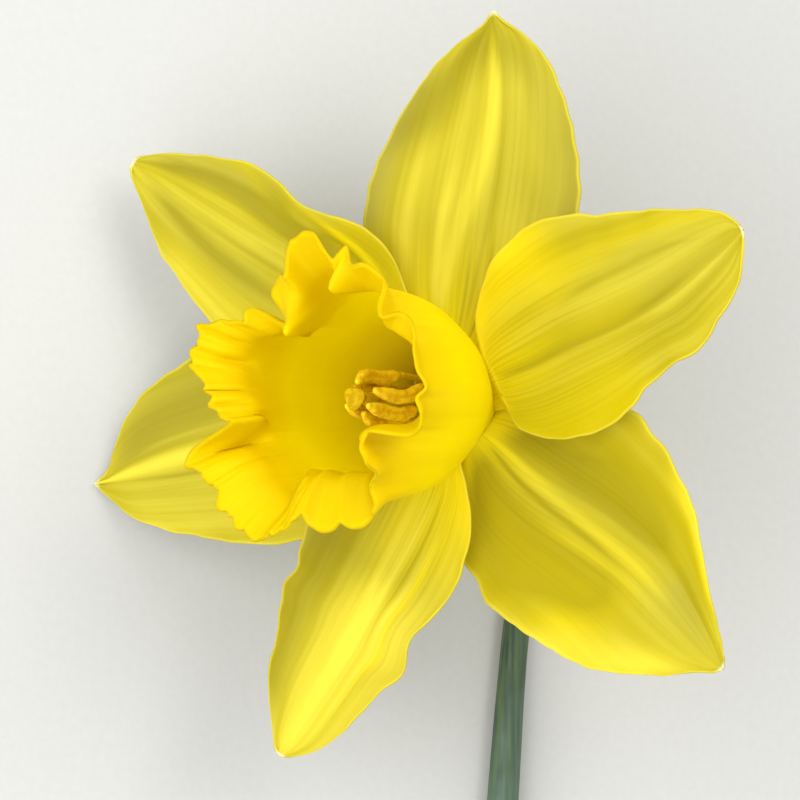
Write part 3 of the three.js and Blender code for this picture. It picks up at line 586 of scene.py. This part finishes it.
    "petalInnerUpperLeft": {
        "node": "petal_inner_upper_left", "azimuth": 144.4, "height": 0.6, "rise": 0.06, "cup": 1,
        "left": [(7.1, 3.6), (10, 7.6), (15, 10.8), (22, 12.4), (28, 12), (33.5, 10.8), (41, 8.6),
                 (46, 6.3), (50, 3.6), (52.5, 2), (53.7, 0.9), (54.1, 0)],
        "right": [(7.1, -3.4), (9, -5.4), (12.4, -7.8), (16.8, -11), (21, -12), (25, -11.1), (29.5, -9.4),
                  (32.5, -9.3), (36, -9.6), (39, -9.6), (43, -8.2), (47, -6), (51, -3.6), (53.4, -1.4),
                  (54.1, 0)],
        "rib": [(5, -1), (14, -2.5), (27, -2.7), (37, -1.6), (48, -0.8), (54.1, 0)],
        "bumps": [(0.36, -1, 0.12, 0.4, 3), (0.6, -1, 0.07, 0.4, -0.6)],
        "folds": [
            (0.1, 0.4, 0.4, 0, [(0.45, 0.1), (0.65, 0.1), (0.82, 0.08), (1, 0)]),
            (0.06, 0.2, 0.3, 0, [(0.4, 0.3), (0.55, 0.28), (0.75, 0.25)]),
            (0.07, 0, 0.45, 0, [(0.5, -0.16), (0.65, -0.2), (0.85, -0.18)]),
            (0.12, -0.35, -0.9, 0, [(0.26, 0.36), (0.5, 0.42), (0.65, 0.45), (0.8, 0.42), (0.95, 0.45)]),
            (0.05, 0, -0.5, 0, [(0.35, 0.18), (0.6, 0.18), (0.8, 0.15)]),
            (0.2, -0.5, -1.1, -0.2, [(0.3, -0.25), (0.5, -0.38), (0.65, -0.45), (0.8, -0.5), (1.02, -0.4)]),
            (0.2, 0, -1, 0.2, [(0.27, -0.35), (0.4, -0.42), (0.48, -0.52), (0.56, -0.66), (0.7, -0.7)]),
            (0.3, 0, -0.1, -0.5, [(0.5, -0.7), (0.7, -0.8), (1.05, -0.8)]),
            (0.14, 0, 0, 0.5, [(0.5, -0.45), (0.6, -0.65), (0.7, -0.95), (0.85, -1.1)]),
            (0.2, 0.2, 0.8, 0.2, [(0.38, 0.8), (0.6, 0.8), (0.85, 0.85)]),
            (0.1, -0.5, -1.1, 0.8, [(0.12, -0.36), (0.3, -0.5), (0.4, -0.64), (0.5, -0.85)]),
            (0.06, 0.6, 0.4, 0.6, [(0.12, -0.5), (0.3, -0.64), (0.4, -0.78), (0.52, -0.97)]),
            (0.3, 0, -0.8, 1, [(-0.05, -0.8), (0.2, -0.75), (0.45, -0.95)]),
            (0.5, 0, -0.25, -0.25, [(0.4, 0.5), (0.7, 0.6), (0.97, 0.5)]),
        ],
        "ripple": 0.2,
    },
}


def petalPlaces(p, number):
    sheet = petalSheet
    edges = [curveThrough(p[side], 0) for side in ("right", "left")]
    widest = max(abs(y) for side in ("right", "left") for x, y in p[side])
    rows = {}

    def rowAt(u):
        if u not in rows:
            right, left = [edge(u) for edge in edges]
            ribAt = (right.x + left.x) / 2
            lines = []
            for half, lift, tone, warmth, path in p["folds"]:
                start, end = path[0][0], path[-1][0]
                if start < u < end:
                    window = ease(u, start, start + sheet["foldIn"]) * ease(u, end, end - sheet["foldOut"])
                    lines.append((half, lift, tone, warmth, between(path, u), window))
            rows[u] = right, left, Vector((ribAt, between(p["rib"], ribAt))), lines
        return rows[u]

    def placeAt(v, u):
        right, left, rib, lines = rowAt(u)
        atEdge = abs(v) ** sheet["edgePower"]
        notch = noise.noise(Vector((sheet["notchScale"] * u, 5 * number, 1 if v < 0 else 4)))
        notch *= sheet["notch"] * atEdge
        flat = rib.lerp(right if v < 0 else left, abs(v) * (1 + notch))
        lift = p["height"] + p["rise"] * flat.x - p["cup"] * (1 - v * v) * sin(pi * clamp(u, 0, 1))
        for u0, v0, spreadU, spreadV, height in p["bumps"]:
            lift += height * hill(u, u0, spreadU) * hill(v, v0, spreadV)
        # Along each fold the tone gathers painted shade and painted highlight
        tone, warm = 0, 0
        for half, height, shade, warmth, middle, window in lines:
            share = hill(v, middle, half) * window
            lift += sheet["foldShare"] * height * share
            tone += shade * share
            warm += warmth * share
        scaleAcross, scaleAlong = sheet["unevenScale"]
        lift += sheet["unevenness"] * noise.noise(Vector((v * scaleAcross, u * scaleAlong, 7 * number)))
        wander = sheet["rippleWander"] * noise.noise(Vector((v, u * 3, number)))
        lift += p["ripple"] * atEdge * sin(sheet["rippleScale"] * u + wander)
        past = max(-u, 0) / sheet["rootReach"]
        flat.x -= past * sheet["rootReach"] * sheet["rootRun"]
        flat.y *= 1 - sheet["rootNarrows"] * past
        # Veins keep halfway between parallel lines and the run of the edges
        straight = (left.y - right.y) / (2 * widest)
        veinAcross = v * (1 - sheet["veinFollow"] + sheet["veinFollow"] * straight)
        return Vector((flat.x, flat.y, lift - sheet["rootDrop"] * past)), tone, warm, veinAcross

    return placeAt


def makePetal(name, p, number):
    sheet = petalSheet
    bm = bmesh.new()
    placeLayer = bm.verts.layers.float_vector.new("petalPlace")
    edgeLayer = bm.verts.layers.float.new("edge")
    # This layer holds the folds' painted shade and painted highlight
    paintedToneLayer = bm.verts.layers.float.new("paintedTone")
    warmLayer = bm.verts.layers.float.new("warm")
    bmesh.ops.create_grid(bm, x_segments=sheet["across"], y_segments=sheet["along"], size=0.5)
    placeAt = petalPlaces(p, number)
    start, end = -sheet["rootReach"], sheet["tipShare"]
    shares = []
    for vertex in bm.verts:
        v = -2 * vertex.co.x
        u = start + (end - start) * round(vertex.co.y + 0.5, 5)
        vertex.co, vertex[paintedToneLayer], vertex[warmLayer], across = placeAt(v, u)
        # Every petal reads its own stretch of the vein pattern
        vertex[placeLayer] = (across + 3 * number, u, 0)
        vertex[edgeLayer] = abs(v)
        thin = max(abs(v) ** 3, ease(u, sheet["thinFrom"], 1))
        shares.append(1 - (1 - sheet["edgeShare"]) * thin)
    place = bloomPlace @ Matrix.Rotation(radians(p["azimuth"]), 4, "Z")
    piece = finishPiece(name, bm, place, [petalFront, petalBack], p["node"])
    return thicken(piece, sheet["thickness"], lambda i: shares[i], 1)


for number, (name, settings) in enumerate(petals.items()):
    makePetal(name, settings, number)
print("petals made")


# A tube of rings standing on its end, to be bent into shape: [angle, along, share of the radius]
def ringedTube(around, steps, capped):
    bm = bmesh.new()
    bmesh.ops.create_cone(bm, cap_ends=capped, segments=around, radius1=1, radius2=1, depth=1)
    uprights = [e for e in bm.edges if abs(e.verts[0].co.z - e.verts[1].co.z) > 0.5]
    bmesh.ops.subdivide_edges(bm, edges=uprights, cuts=steps - 1, use_grid_fill=True)
    return bm


# Trumpet: its body's radius, then [angle round it, value] for its frilled rim's radius and how far forward
# The lists start at the seam, and the broad lobes are the rim's mean over so many degrees either way
trumpet = {
    "around": 560, "steps": 64, "thickness": 0.75, "rimShare": 0.55, "thinFrom": 0.5,
    "start": 0.75, "rise": 1.2, "dip": -0.04,
    "body": [(0, 5.8), (0.15, 7.9), (0.25, 9.5), (0.4, 11.5), (0.6, 13), (0.8, 13.9), (0.88, 14.6),
             (1, 17.5)],
    "rimRadius": 17.5, "seam": 171, "frillStart": 0.45, "broad": 8, "broadPower": 1.6, "finePower": 4,
    "pleats": 12, "pleatDepth": 0.22, "pleatEase": (0.1, 0.7),
    "rim": [
        (-170.2, 13.6), (-166.3, 13.5), (-163.5, 13), (-161.1, 13.3), (-159.3, 14.2), (-158, 16),
        (-157, 19.6), (-154.2, 18.9), (-151.4, 19.6), (-147.2, 19.1), (-144.5, 19), (-142.1, 19.4),
        (-139.6, 18.9), (-135.9, 19.1), (-133.2, 19.8), (-129.7, 19.9), (-126.6, 19.5), (-124.4, 19.9),
        (-118.8, 20), (-114, 20.2), (-110.1, 20), (-108.4, 18.8), (-107, 18.2), (-103.7, 19.1),
        (-100.3, 16.7), (-98.2, 15.8), (-95.9, 16), (-94.5, 15.3), (-93, 16), (-91.4, 16.7), (-88.2, 17.3),
        (-84.4, 17.6), (-80, 17.4), (-76.4, 16.8), (-73.4, 17.5), (-69.3, 18.1), (-64.7, 18.3),
        (-57.4, 17.6), (-53.9, 17.2), (-51.7, 15.8), (-46.7, 15.6), (-39.2, 16), (-35.5, 15.5),
        (-32.7, 15), (-30.6, 14.2), (-25, 13.9), (-21.6, 13.9), (-20, 15.8), (-18.5, 18), (-14.8, 18.3),
        (-9.2, 18), (-4.1, 17), (0.2, 18.2), (6.8, 17.3), (14.1, 17.4), (20.2, 18), (27.1, 17.6),
        (32.4, 16.5), (35.9, 14.4), (40.4, 15.3), (43, 16.8), (45.7, 17.7), (49.1, 17.8), (53.8, 17.5),
        (58.9, 16.5), (63.2, 16.2), (66.3, 16.7), (68.8, 17.6), (70.8, 18.5), (72.4, 17.8), (74.1, 16.4),
        (77.4, 16.7), (81.1, 17.5), (84, 18.4), (87.9, 18.6), (91.7, 18.4), (96.2, 18.2), (99.3, 17.7),
        (101, 16.6), (102.3, 15.2), (103.8, 14.3), (107, 14.5), (110, 14.8), (116.3, 14.5), (122, 13.4),
        (126, 12.3), (129.5, 11.2), (131.6, 11), (133.2, 12.2), (134.6, 13.7), (136, 14.3), (138.6, 13.8),
        (141.7, 13.3), (146.4, 15), (149, 16.2), (152.9, 16.9), (157, 17.4), (161.4, 17.6), (165.7, 17.1),
        (169.4, 17.4), (172.9, 17), (175.5, 16), (179, 14.5), (182.9, 13.9), (187, 13.7),
    ],
    "forward": [(-171, 0.6), (-163, 1), (-156, 0), (-104, 0), (-98, -0.3), (-93, -1.4), (-88, -2), (-62, -2),
                (-55, -1), (-49, 0), (-42, 0.8), (-38.5, 2), (-35, 4), (-30.5, 5), (-25, 5), (-21, 3.4),
                (-18, 1), (-14, 0), (100, 0), (109, -1), (115.5, -1.5), (121, -2), (126, -4), (130.5, -6),
                (134, -3.5), (138, -1.2), (143, -0.6), (150, 0), (189, 0.6)],
    # The wall's bulge before it flares, by angle, and how much of it along the wall
    "bulge": [(-185, -0.6), (-171, -0.9), (-157, -0.6), (-148, -1), (-125, -1.4), (-112, -0.8), (-100, 0),
              (-70, 0), (-62, 0.5), (-56, 1.5), (-48, 1.3), (-38, 0.4), (-28, 0), (50, 0), (84, -0.2),
              (100, -0.4), (111, -1.4), (120, -2.4), (128, -2), (136, -0.8), (150, -0.6), (175, -0.6),
              (189, -0.9), (203, -0.6)],
    "bulgeShare": [(0.25, 0), (0.5, 0.45), (0.7, 0.8), (0.85, 1), (0.93, 0.6), (1, 0)],
    # The lower lip is drawn in between two edges; its left edge slants and softens down the wall
    "lip": {"left": -96.5, "slant": 95, "reach": 21, "right": (-57, -64), "edge": 2.2, "softFrom": 0.8,
            "soft": 60, "depth": 3.2, "calmPleats": 0.85, "calmCrimps": 0.6},
    # Forms of one place: [angle, half width in degrees, from, size], grown over this share of the wall
    "formShare": 0.14,
    "creases": [(155, 1.6, 0.82, 1.1), (165.5, 2.6, 0.78, 1.6), (171, 1.2, 0.84, 0.8), (-179, 1.6, 0.8, 0.8),
                (-171.5, 1.8, 0.84, 0.8), (-153.5, 2.4, 0.72, 2.2), (-159, 2.4, 0.76, -2),
                (-107.5, 1.2, 0.86, 0.9), (-103.5, 1.6, 0.86, -0.8), (-99.5, 2, 0.8, 1), (139, 4, 0.8, 0.4),
                (58, 3, 0.82, 0.5)],
    # Edges that roll toward the front and then over
    "rolls": [(-28, 9, 0.76, 3), (115, 10, 0.62, 9), (70, 4.5, 0.76, 5.5), (30, 8, 0.76, 2),
              (165, 20, 0.8, 0.9), (-80, 16, 0.76, 1), (-135, 20, 0.8, 0.8)],
    "rollOver": {"after": 0.1, "end": 1.02, "fall": 1.15, "inward": 0.35},
    # Small teeth of the left edge, 1.7 mm apart and uneven
    "teeth": [(-128, 26, 0.88, 0.6), (158, 22, 0.88, 0.35)], "toothCount": 64, "toothWander": 2.5,
    # Crimps round the whole edge: [pitch, depth, from]
    "crimps": [(4.2, 0.6, 0.78), (1.8, 0.3, 0.85)], "crimpOutward": 0.4,
}


# A list of [angle, value] carried on past both ends
def wrapAngles(stations):
    return [(a - 360, v) for a, v in stations[-3:]] + stations + [(a + 360, v) for a, v in stations[:3]]


def turnBetween(a, b):
    return (a - b + 180) % 360 - 180


def trumpetPlaces(t):
    rim = wrapAngles(t["rim"])
    bend = radians(bloom["trumpetBend"])
    arcRadius = bloom["trumpetLength"] / bend
    lip, over = t["lip"], t["rollOver"]
    columns = {}

    def formsAt(degrees, forms):
        found = []
        for middle, half, start, size in forms:
            aside = turnBetween(degrees, middle)
            if abs(aside) < 3 * half:
                found.append((size * hill(aside, 0, half), start))
        return found

    def columnAt(degrees):
        key = round(degrees, 3)
        if key not in columns:
            near = [between(rim, degrees + t["broad"] * k / 4) for k in range(-4, 5)]
            broad = sum(near) / len(near)
            forms = [formsAt(degrees, t[kind]) for kind in ("creases", "rolls", "teeth")]
            columns[key] = (broad - t["rimRadius"], near[4] - broad, between(t["forward"], degrees),
                            between(t["bulge"], degrees), forms)
        return columns[key]

    def placeAt(angle, along):
        degrees = (angle * 180 / pi + t["seam"]) % 360 - t["seam"]
        broad, fine, rimForward, bulge, (creases, rolls, teeth) = columnAt(degrees)
        turn = bend * along
        ahead = t["start"] + arcRadius * sin(turn)
        centre = Vector((-arcRadius * (1 - cos(turn)), t["rise"] * along, ahead))
        frill = max(along - t["frillStart"], 0) / (1 - t["frillStart"])
        left = lip["left"] - min(lip["slant"] * (1 - along), lip["reach"])
        edge = lip["edge"] + lip["soft"] * max(lip["softFrom"] - along, 0)
        inLip = ease(degrees, left - edge, left + edge) * ease(degrees, *lip["right"])
        pleat = t["pleatDepth"] * cos(t["pleats"] * angle) * ease(along, *t["pleatEase"])
        pleat *= 1 - lip["calmPleats"] * inLip
        radius = between(t["body"], along)
        radius += broad * frill ** t["broadPower"] + fine * frill ** t["finePower"]
        radius += pleat + (bulge - lip["depth"] * inLip) * between(t["bulgeShare"], along)
        forward = rimForward * frill ** t["broadPower"]
        for size, start in creases:
            radius += size * ease(along, start, start + t["formShare"])
        for size, start in rolls:
            rise = ease(along, start, start + t["formShare"])
            fall = ease(along, start + over["after"], over["end"])
            forward += size * (rise - over["fall"] * fall)
            radius -= over["inward"] * size * (rise - fall)
        for size, start in teeth:
            wander = t["toothWander"] * noise.noise(Vector((9 * cos(angle), 9 * sin(angle), 5)))
            tooth = abs(sin(t["toothCount"] / 2 * angle + wander)) - 0.6  # rounded, with sharp gaps
            radius += size * tooth * ease(along, start, 1)
        for pitch, depth, start in t["crimps"]:
            reach = t["rimRadius"] / pitch
            wave = noise.noise(Vector((reach * cos(angle), reach * sin(angle), along * 1.5 + pitch)))
            wave = depth * (0.4 - 2 * abs(wave)) * ease(along, start, start + t["formShare"])
            wave *= 1 - lip["calmCrimps"] * inLip
            radius += t["crimpOutward"] * wave
            forward += wave
        outward = Vector((cos(turn), 0, sin(turn)))
        onward = Vector((-sin(turn), 0, cos(turn)))
        side = outward * cos(angle) + Vector((0, sin(angle), 0))
        return centre + side * radius + onward * forward

    return placeAt


def makeTrumpet(t):
    bm = ringedTube(t["around"], t["steps"], False)
    wall = bm.verts.layers.float_vector.new("wallPlace")
    placeAt = trumpetPlaces(t)
    shares = []
    for vertex in bm.verts:
        angle = atan2(vertex.co.y, vertex.co.x)
        along = t["dip"] + (1 - t["dip"]) * (vertex.co.z + 0.5)
        vertex[wall] = (cos(angle), sin(angle), along)
        vertex.co = placeAt(angle, along)
        shares.append(1 - (1 - t["rimShare"]) * ease(along, t["thinFrom"], 1))
    skins = [trumpetOutside, trumpetInside]
    piece = finishPiece("trumpet", bm, bloomPlace, skins, "corona")
    return thicken(piece, t["thickness"], lambda i: shares[i], 1)


makeTrumpet(trumpet)
print("trumpet made")


# Tube behind the petals, drawn as [back from the throat, outer radius], with six low ribs
tube = {
    "around": 96, "steps": 40, "wall": 0.8, "ribs": 6, "ribDepth": 0.16, "ribFade": 6,
    "profile": [(0, 6.2), (1.4, 5.6), (4, 4.5), (8, 3.5), (13, 2.9), (18, 2.7)],
}


def makeTube(t):
    bm = ringedTube(t["around"], t["steps"], False)
    wall = bm.verts.layers.float_vector.new("wallPlace")
    length = bloom["tubeLength"]
    for vertex in bm.verts:
        angle = atan2(vertex.co.y, vertex.co.x)
        along = vertex.co.z + 0.5
        back = length * (1 - along)
        rib = t["ribDepth"] * cos(t["ribs"] * angle) * ease(back, 0, t["ribFade"])
        radius = between(t["profile"], back) - t["wall"] / 2 + rib - t["ribDepth"] / 2
        vertex[wall] = (cos(angle), sin(angle), along)
        vertex.co = (radius * cos(angle), radius * sin(angle), -back)
    piece = finishPiece("flowerTube", bm, bloomPlace, [tubeTissue], "perianth_tube")
    return thicken(piece, t["wall"], lambda i: 1, 0)


makeTube(tube)
print("tube made")


# A rod of rings along a route: half gives its two half widths at a share of its length, and section
# its swelling and its depth in a slit by angle; ends is the bulge of its closed ends, and hollow the bore
# and depth of a cut one
def makeRod(name, r, place, materials, node):
    bm = ringedTube(r["around"], r["steps"], True)
    slit = bm.verts.layers.float.new("slit")
    ends = [face for face in bm.faces if len(face.verts) > 4]
    if "hollow" in r:
        share, depth = r["hollow"]
        cut = max(ends, key=lambda face: face.calc_center_median().z)
        bmesh.ops.inset_individual(bm, faces=[cut], thickness=(1 - share) * cos(pi / r["around"]))
        made = bmesh.ops.extrude_discrete_faces(bm, faces=[cut])["faces"]
        bmesh.ops.translate(bm, verts=made[0].verts, vec=(0, 0, -depth))
        # The cut and its bore show the second material
        for face in bm.faces:
            middle = face.calc_center_median()
            if hypot(middle.x, middle.y) < 0.9 and middle.z > 0:
                face.material_index = 1
    route = curveThrough(r["route"], 0.5)
    level = Vector(r["level"])
    step = 0.002
    for vertex in bm.verts:
        x, y, z = vertex.co
        t, angle, share = clamp(z + 0.5, 0, 1), atan2(y, x), hypot(x, y)
        forward = (route(min(t + step, 1)) - route(max(t - step, 0))).normalized()
        side = level.cross(forward).normalized()
        over = forward.cross(side)
        width, height = r["half"](t)
        swell, vertex[slit] = r["section"](t, angle) if "section" in r else (1, 0)
        across = side * width * share * swell * cos(angle)
        vertex.co = route(t) + across + over * height * share * swell * sin(angle)
    if "ends" in r:
        for cap in ends:
            normal = cap.normal.copy()
            tip = bmesh.ops.poke(bm, faces=[cap])["verts"][0]
            tip.co += normal * r["ends"]
    return finishPiece(name, bm, place, materials, node)


# Ovary: three blunt lobes under the tube
ovary = {
    "around": 60, "steps": 30, "level": (1, 0, 0), "ends": 0.2, "length": 11,
    "profile": [(0, 2), (0.2, 3.1), (0.5, 3.7), (0.75, 3.4), (0.92, 2.75), (1, 2.6)],
    "lobes": 3, "lobeDepth": 0.035,
}
ovaryTop = -bloom["tubeLength"] - bloom["joinGap"]
ovary["route"] = [(0, 0, ovaryTop - ovary["length"] * t) for t in (0, 0.5, 1)]
ovary["half"] = lambda t: (between(ovary["profile"], t),) * 2
ovary["section"] = lambda t, angle: (
    0.97 + ovary["lobeDepth"] * cos(ovary["lobes"] * angle) * sin(pi * t), 0)
makeRod("ovary", ovary, bloomPlace, [ovarySkin], "ovary")

# Pedicel and stem, from the point of the floor under the throat
pedicel = {
    "around": 48, "steps": 40, "level": (0, 0, 1), "ends": 0.2,
    "route": [(18.2, 0, 9.9), (20.4, 0.1, 7), (22.3, -0.4, 4.5), (23, -2.4, 3.2), (22.8, -4.6, 2.75)],
    "radii": [(0, 1.95), (0.12, 1.6), (0.3, 1.45), (0.7, 1.5), (1, 1.75)],
}
pedicel["half"] = lambda t: (between(pedicel["radii"], t),) * 2
makeRod("pedicel", pedicel, laidPlace, [ovarySkin], "pedicel")

stem = {
    "around": 72, "steps": 220, "level": (0, 0, 1), "hollow": (0.42, 0.03),
    "route": [(22.7, -5, 2.3), (21.6, -14, 1.95), (19, -33.8, 2), (17.1, -56, 2.3), (14.2, -100, 2.5),
              (12, -150, 2.7)],
    "widths": [(0, 4.6), (0.06, 3.9), (0.2, 3.8), (0.35, 4.4), (0.7, 5), (1, 5.4)],
    "lines": 11, "lineDepth": 0.018,
}
stem["half"] = lambda t: (between(stem["widths"], t) / 2,) * 2
stem["section"] = lambda t, angle: (
    0.99 + stem["lineDepth"] * cos(stem["lines"] * angle) * ease(t, 0, 0.05), 0)
makeRod("stem", stem, laidPlace, [stemSkin, stemPith], "scape")
print("stem made")


# Sheath: a dry sheet, curled round the pedicel and open where the bloom leaves it
sheath = {
    "across": 48, "along": 90, "thickness": 0.35, "length": 38, "start": (22.7, -4.7, 0.32), "drift": -3,
    "halfWidths": [(0, 6.4), (0.3, 7.4), (0.6, 5.6), (0.85, 2.8), (1, 0.5)],
    "radii": [(0, 2.5), (0.3, 4.2), (0.6, 5.4), (1, 7)],
    "crumple": 0.35,
}


def makeSheath(s):
    bm = bmesh.new()
    placeLayer = bm.verts.layers.float_vector.new("petalPlace")
    bmesh.ops.create_grid(bm, x_segments=s["across"], y_segments=s["along"], size=0.5)
    startX, startY, floor = s["start"]
    for vertex in bm.verts:
        v, u = 2 * vertex.co.x, vertex.co.y + 0.5
        radius = between(s["radii"], u)
        angle = v * between(s["halfWidths"], u) / radius + radians(bloom["lean"]) * (1 - u)
        crumple = s["crumple"] * (0.5 + noise.noise(Vector((v * 2.5, u * 6, 3)))) * ease(abs(v), 0, 0.8)
        radius -= crumple * ease(u, 0.05, 0.3)
        vertex[placeLayer] = (v, u, 9)
        vertex.co = (startX + s["drift"] * u + radius * sin(angle), startY + s["length"] * u,
                     floor + between(s["radii"], u) - radius * cos(angle))
    piece = finishPiece("sheath", bm, laidPlace, [driedSheath], "spathe")
    return thicken(piece, s["thickness"], lambda i: 1, 0)


makeSheath(sheath)
print("sheath made")

# Stamens and pistil, round a middle that leans with the trumpet
stamens = {
    "count": 6, "start": -8, "radius": 0.45, "taper": (1.15, 0.3), "spread": 2.9, "lean": 0.5,
    # Filaments rise from the tube's wall, [distance from the axis, height above the throat]
    "inset": 1.75, "bend": (2.05, 2), "antherLength": 10,
    "antherStarts": (14.6, 15.6, 13.8, 15.2, 14.2, 16),
    "antherHalf": [(0, 0.35, 0.3), (0.12, 0.8, 0.62), (0.5, 0.92, 0.7), (0.85, 0.78, 0.6), (1, 0.35, 0.3)],
    # How far each anther curls out and sideways, and how its tip hooks inward
    "antherCurls": ((0.5, -1.3), (-0.4, 0.7), (0.6, -0.5), (0.4, 0.6), (-0.5, -0.6), (0.5, -0.6)),
    "hook": 0.5, "hookFrom": 0.75,
    # It splits along both sides and less along its back, darker in the slits, and dries crumpled
    "sideSplit": 0.3, "backSplit": 0.25, "backShare": 0.6, "splitDepth": 0.35, "slitTone": 0.8,
    "crumple": 0.2,
    "styleRadius": 0.6, "styleEnd": 24.4, "stigmaLength": 1.8,
    "stigmaHalf": [(0, 0.75), (0.5, 1.15), (0.85, 1.45), (1, 1.2)],
}


def stamenPlace(angle, out, height):
    lean = max(height, 0) ** 2 * (radians(bloom["trumpetBend"]) / (2 * bloom["trumpetLength"]))
    return out * cos(angle) - lean, out * sin(angle), height


def antherPlace(i, angle, start, t):
    outCurl, sideCurl = stamens["antherCurls"][i]
    out = stamens["spread"] - stamens["lean"] * t + outCurl / 2 * sin(2 * pi * t)
    out -= stamens["hook"] * ease(t, stamens["hookFrom"], 1)
    x, y, z = stamenPlace(angle, out, start + t * stamens["antherLength"])
    aside = sideCurl * sin(pi * t)
    return x - aside * sin(angle), y + aside * cos(angle), z


def antherSection(t, angle):
    s = stamens
    atBack = s["backShare"] * hill(abs(angle), pi, s["backSplit"])
    split = max(hill(abs(angle), pi / 2, s["sideSplit"]), atBack) * sin(pi * t)
    crumpled = 1 + s["crumple"] * noise.noise(Vector((2 * cos(angle), 2 * sin(angle), 9 * t)))
    return crumpled - s["splitDepth"] * split, s["slitTone"] * split


for i in range(stamens["count"]):
    angle = 2 * pi * (i + 0.5) / stamens["count"]
    start = stamens["antherStarts"][i]
    filament = {
        "around": 20, "steps": 30, "level": (1, 0, 0), "ends": 0.15,
        "route": [stamenPlace(angle, stamens["inset"], stamens["start"]),
                  stamenPlace(angle, *stamens["bend"]),
                  stamenPlace(angle, stamens["spread"], start - bloom["joinGap"])],
        "half": lambda t: (stamens["radius"] * (stamens["taper"][0] - stamens["taper"][1] * t),) * 2,
    }
    makeRod(f"filament{i + 1}", filament, bloomPlace, [filamentSkin], f"filament_{i + 1}")
    anther = {
        "around": 36, "steps": 40, "level": (1, 0, 0), "ends": 0.12, "section": antherSection,
        "route": [antherPlace(i, angle, start, t / 6) for t in range(7)],
        "half": lambda t: (between(stamens["antherHalf"], t, 1), between(stamens["antherHalf"], t, 2)),
    }
    makeRod(f"anther{i + 1}", anther, bloomPlace, [pollen], f"anther_{i + 1}")

styleStart = ovaryTop + bloom["joinGap"]
style = {
    "around": 24, "steps": 50, "level": (1, 0, 0), "ends": 0.1,
    "route": [stamenPlace(0, 0, height)
              for height in (styleStart, 0, stamens["styleEnd"] / 2, stamens["styleEnd"])],
    "half": lambda t: (stamens["styleRadius"],) * 2,
}
makeRod("style", style, bloomPlace, [filamentSkin], "style")

stigmaStart = stamens["styleEnd"] + bloom["joinGap"]
stigma = {
    "around": 48, "steps": 20, "level": (1, 0, 0), "ends": -0.8,
    "route": [stamenPlace(0, 0, stigmaStart + t * stamens["stigmaLength"]) for t in (0, 0.5, 1)],
    "half": lambda t: (between(stamens["stigmaHalf"], t),) * 2,
    "lobes": 3, "lobeDepth": 0.12, "lobeTurn": 0.4,
}
stigma["section"] = lambda t, angle: (
    1 + stigma["lobeDepth"] * t * cos(stigma["lobes"] * angle + stigma["lobeTurn"]), 0)
makeRod("stigma", stigma, bloomPlace, [stigmaSkin], "stigma")
print("stamens and pistil made")

# Camera: 22 degrees off the bloom's axis, square to the photograph's frame, 450 mm from the throat
camera = {"offAxis": 22, "right": -6.49, "up": -0.26, "distance": 450, "lens": 155.9, "sensor": 36}
viewTurn = Matrix.Rotation(-radians(bloom["lean"] - camera["offAxis"]), 4, "Y")
standPoint = bloom["throat"] + viewTurn @ Vector((camera["right"], camera["up"], camera["distance"]))
eye = bpy.data.objects.new("camera", bpy.data.cameras.new("camera"))
eye.data.lens = camera["lens"]
eye.data.sensor_width = camera["sensor"]
eye.data.clip_start = 10 * mm
eye.matrix_world = Matrix.Translation(standPoint * mm) @ viewTurn
bpy.context.scene.collection.objects.link(eye)
bpy.context.scene.camera = eye

# Soft boxes, placed from the throat as seen from the camera: [right, up, toward the camera], in millimetres
lights = {
    "key": {"from": (310, 330, 610), "size": 480, "power": 3.4, "colour": "#fffcf4"},
    "fill": {"from": (-360, 100, 620), "size": 600, "power": 3.2, "colour": "#f8faff"},
    "low": {"from": (-360, -400, 480), "size": 500, "power": 1.9, "colour": "#ffffff"},
}
for name, light in lights.items():
    lamp = bpy.data.objects.new(name, bpy.data.lights.new(name, "AREA"))
    lamp.data.size = light["size"] * mm
    lamp.data.energy = light["power"]
    lamp.data.color = tint(light["colour"])[:3]
    offset = viewTurn @ Vector(light["from"])
    aim = offset.to_track_quat("Z", "Y").to_matrix().to_4x4()
    lamp.matrix_world = Matrix.Translation((bloom["throat"] + offset) * mm) @ aim
    bpy.context.scene.collection.objects.link(lamp)

# An even, faintly blue light from all round
allRound = {"colour": "#f6f8fa", "strength": 0.92}
room = bpy.data.worlds.new("room")
room.use_nodes = True
room.node_tree.nodes["Background"].inputs["Color"].default_value = tint(allRound["colour"])
room.node_tree.nodes["Background"].inputs["Strength"].default_value = allRound["strength"]
bpy.context.scene.world = room
bpy.context.scene.view_settings.view_transform = "Standard"

# Floor: pale matt card with a faint fibre, a hair below the flower
floorSheet = {"size": 3000, "drop": 0.05, "dark": "#b9b9b5", "pale": "#c0c0bd", "fibresPerMetre": 900}
bm = bmesh.new()
bmesh.ops.create_grid(bm, x_segments=1, y_segments=1, size=floorSheet["size"] / 2 * mm)
bmesh.ops.translate(bm, verts=bm.verts, vec=(0, 0, -floorSheet["drop"] * mm))
floorMesh = bpy.data.meshes.new("floor")
bm.to_mesh(floorMesh)
bm.free()
floor = bpy.data.objects.new("floor", floorMesh)
bpy.context.scene.collection.objects.link(floor)
card, tree = newMaterial("paleCard")
where = addNode(tree, "TexCoord", {}).outputs["Object"]
fibre = addNode(tree, "TexNoise", {"Scale": floorSheet["fibresPerMetre"], "Detail": 3, "Vector": where})
cardColour = layCoats(tree, floorSheet["dark"], [(fibre, floorSheet["pale"])])
paper = addNode(tree, "BsdfPrincipled", {
    "Roughness": 0.9, "Specular IOR Level": 0.1, "Base Color": cardColour})
addNode(tree, "OutputMaterial", {"Surface": paper})
floorMesh.materials.append(card)

print("scene ready")
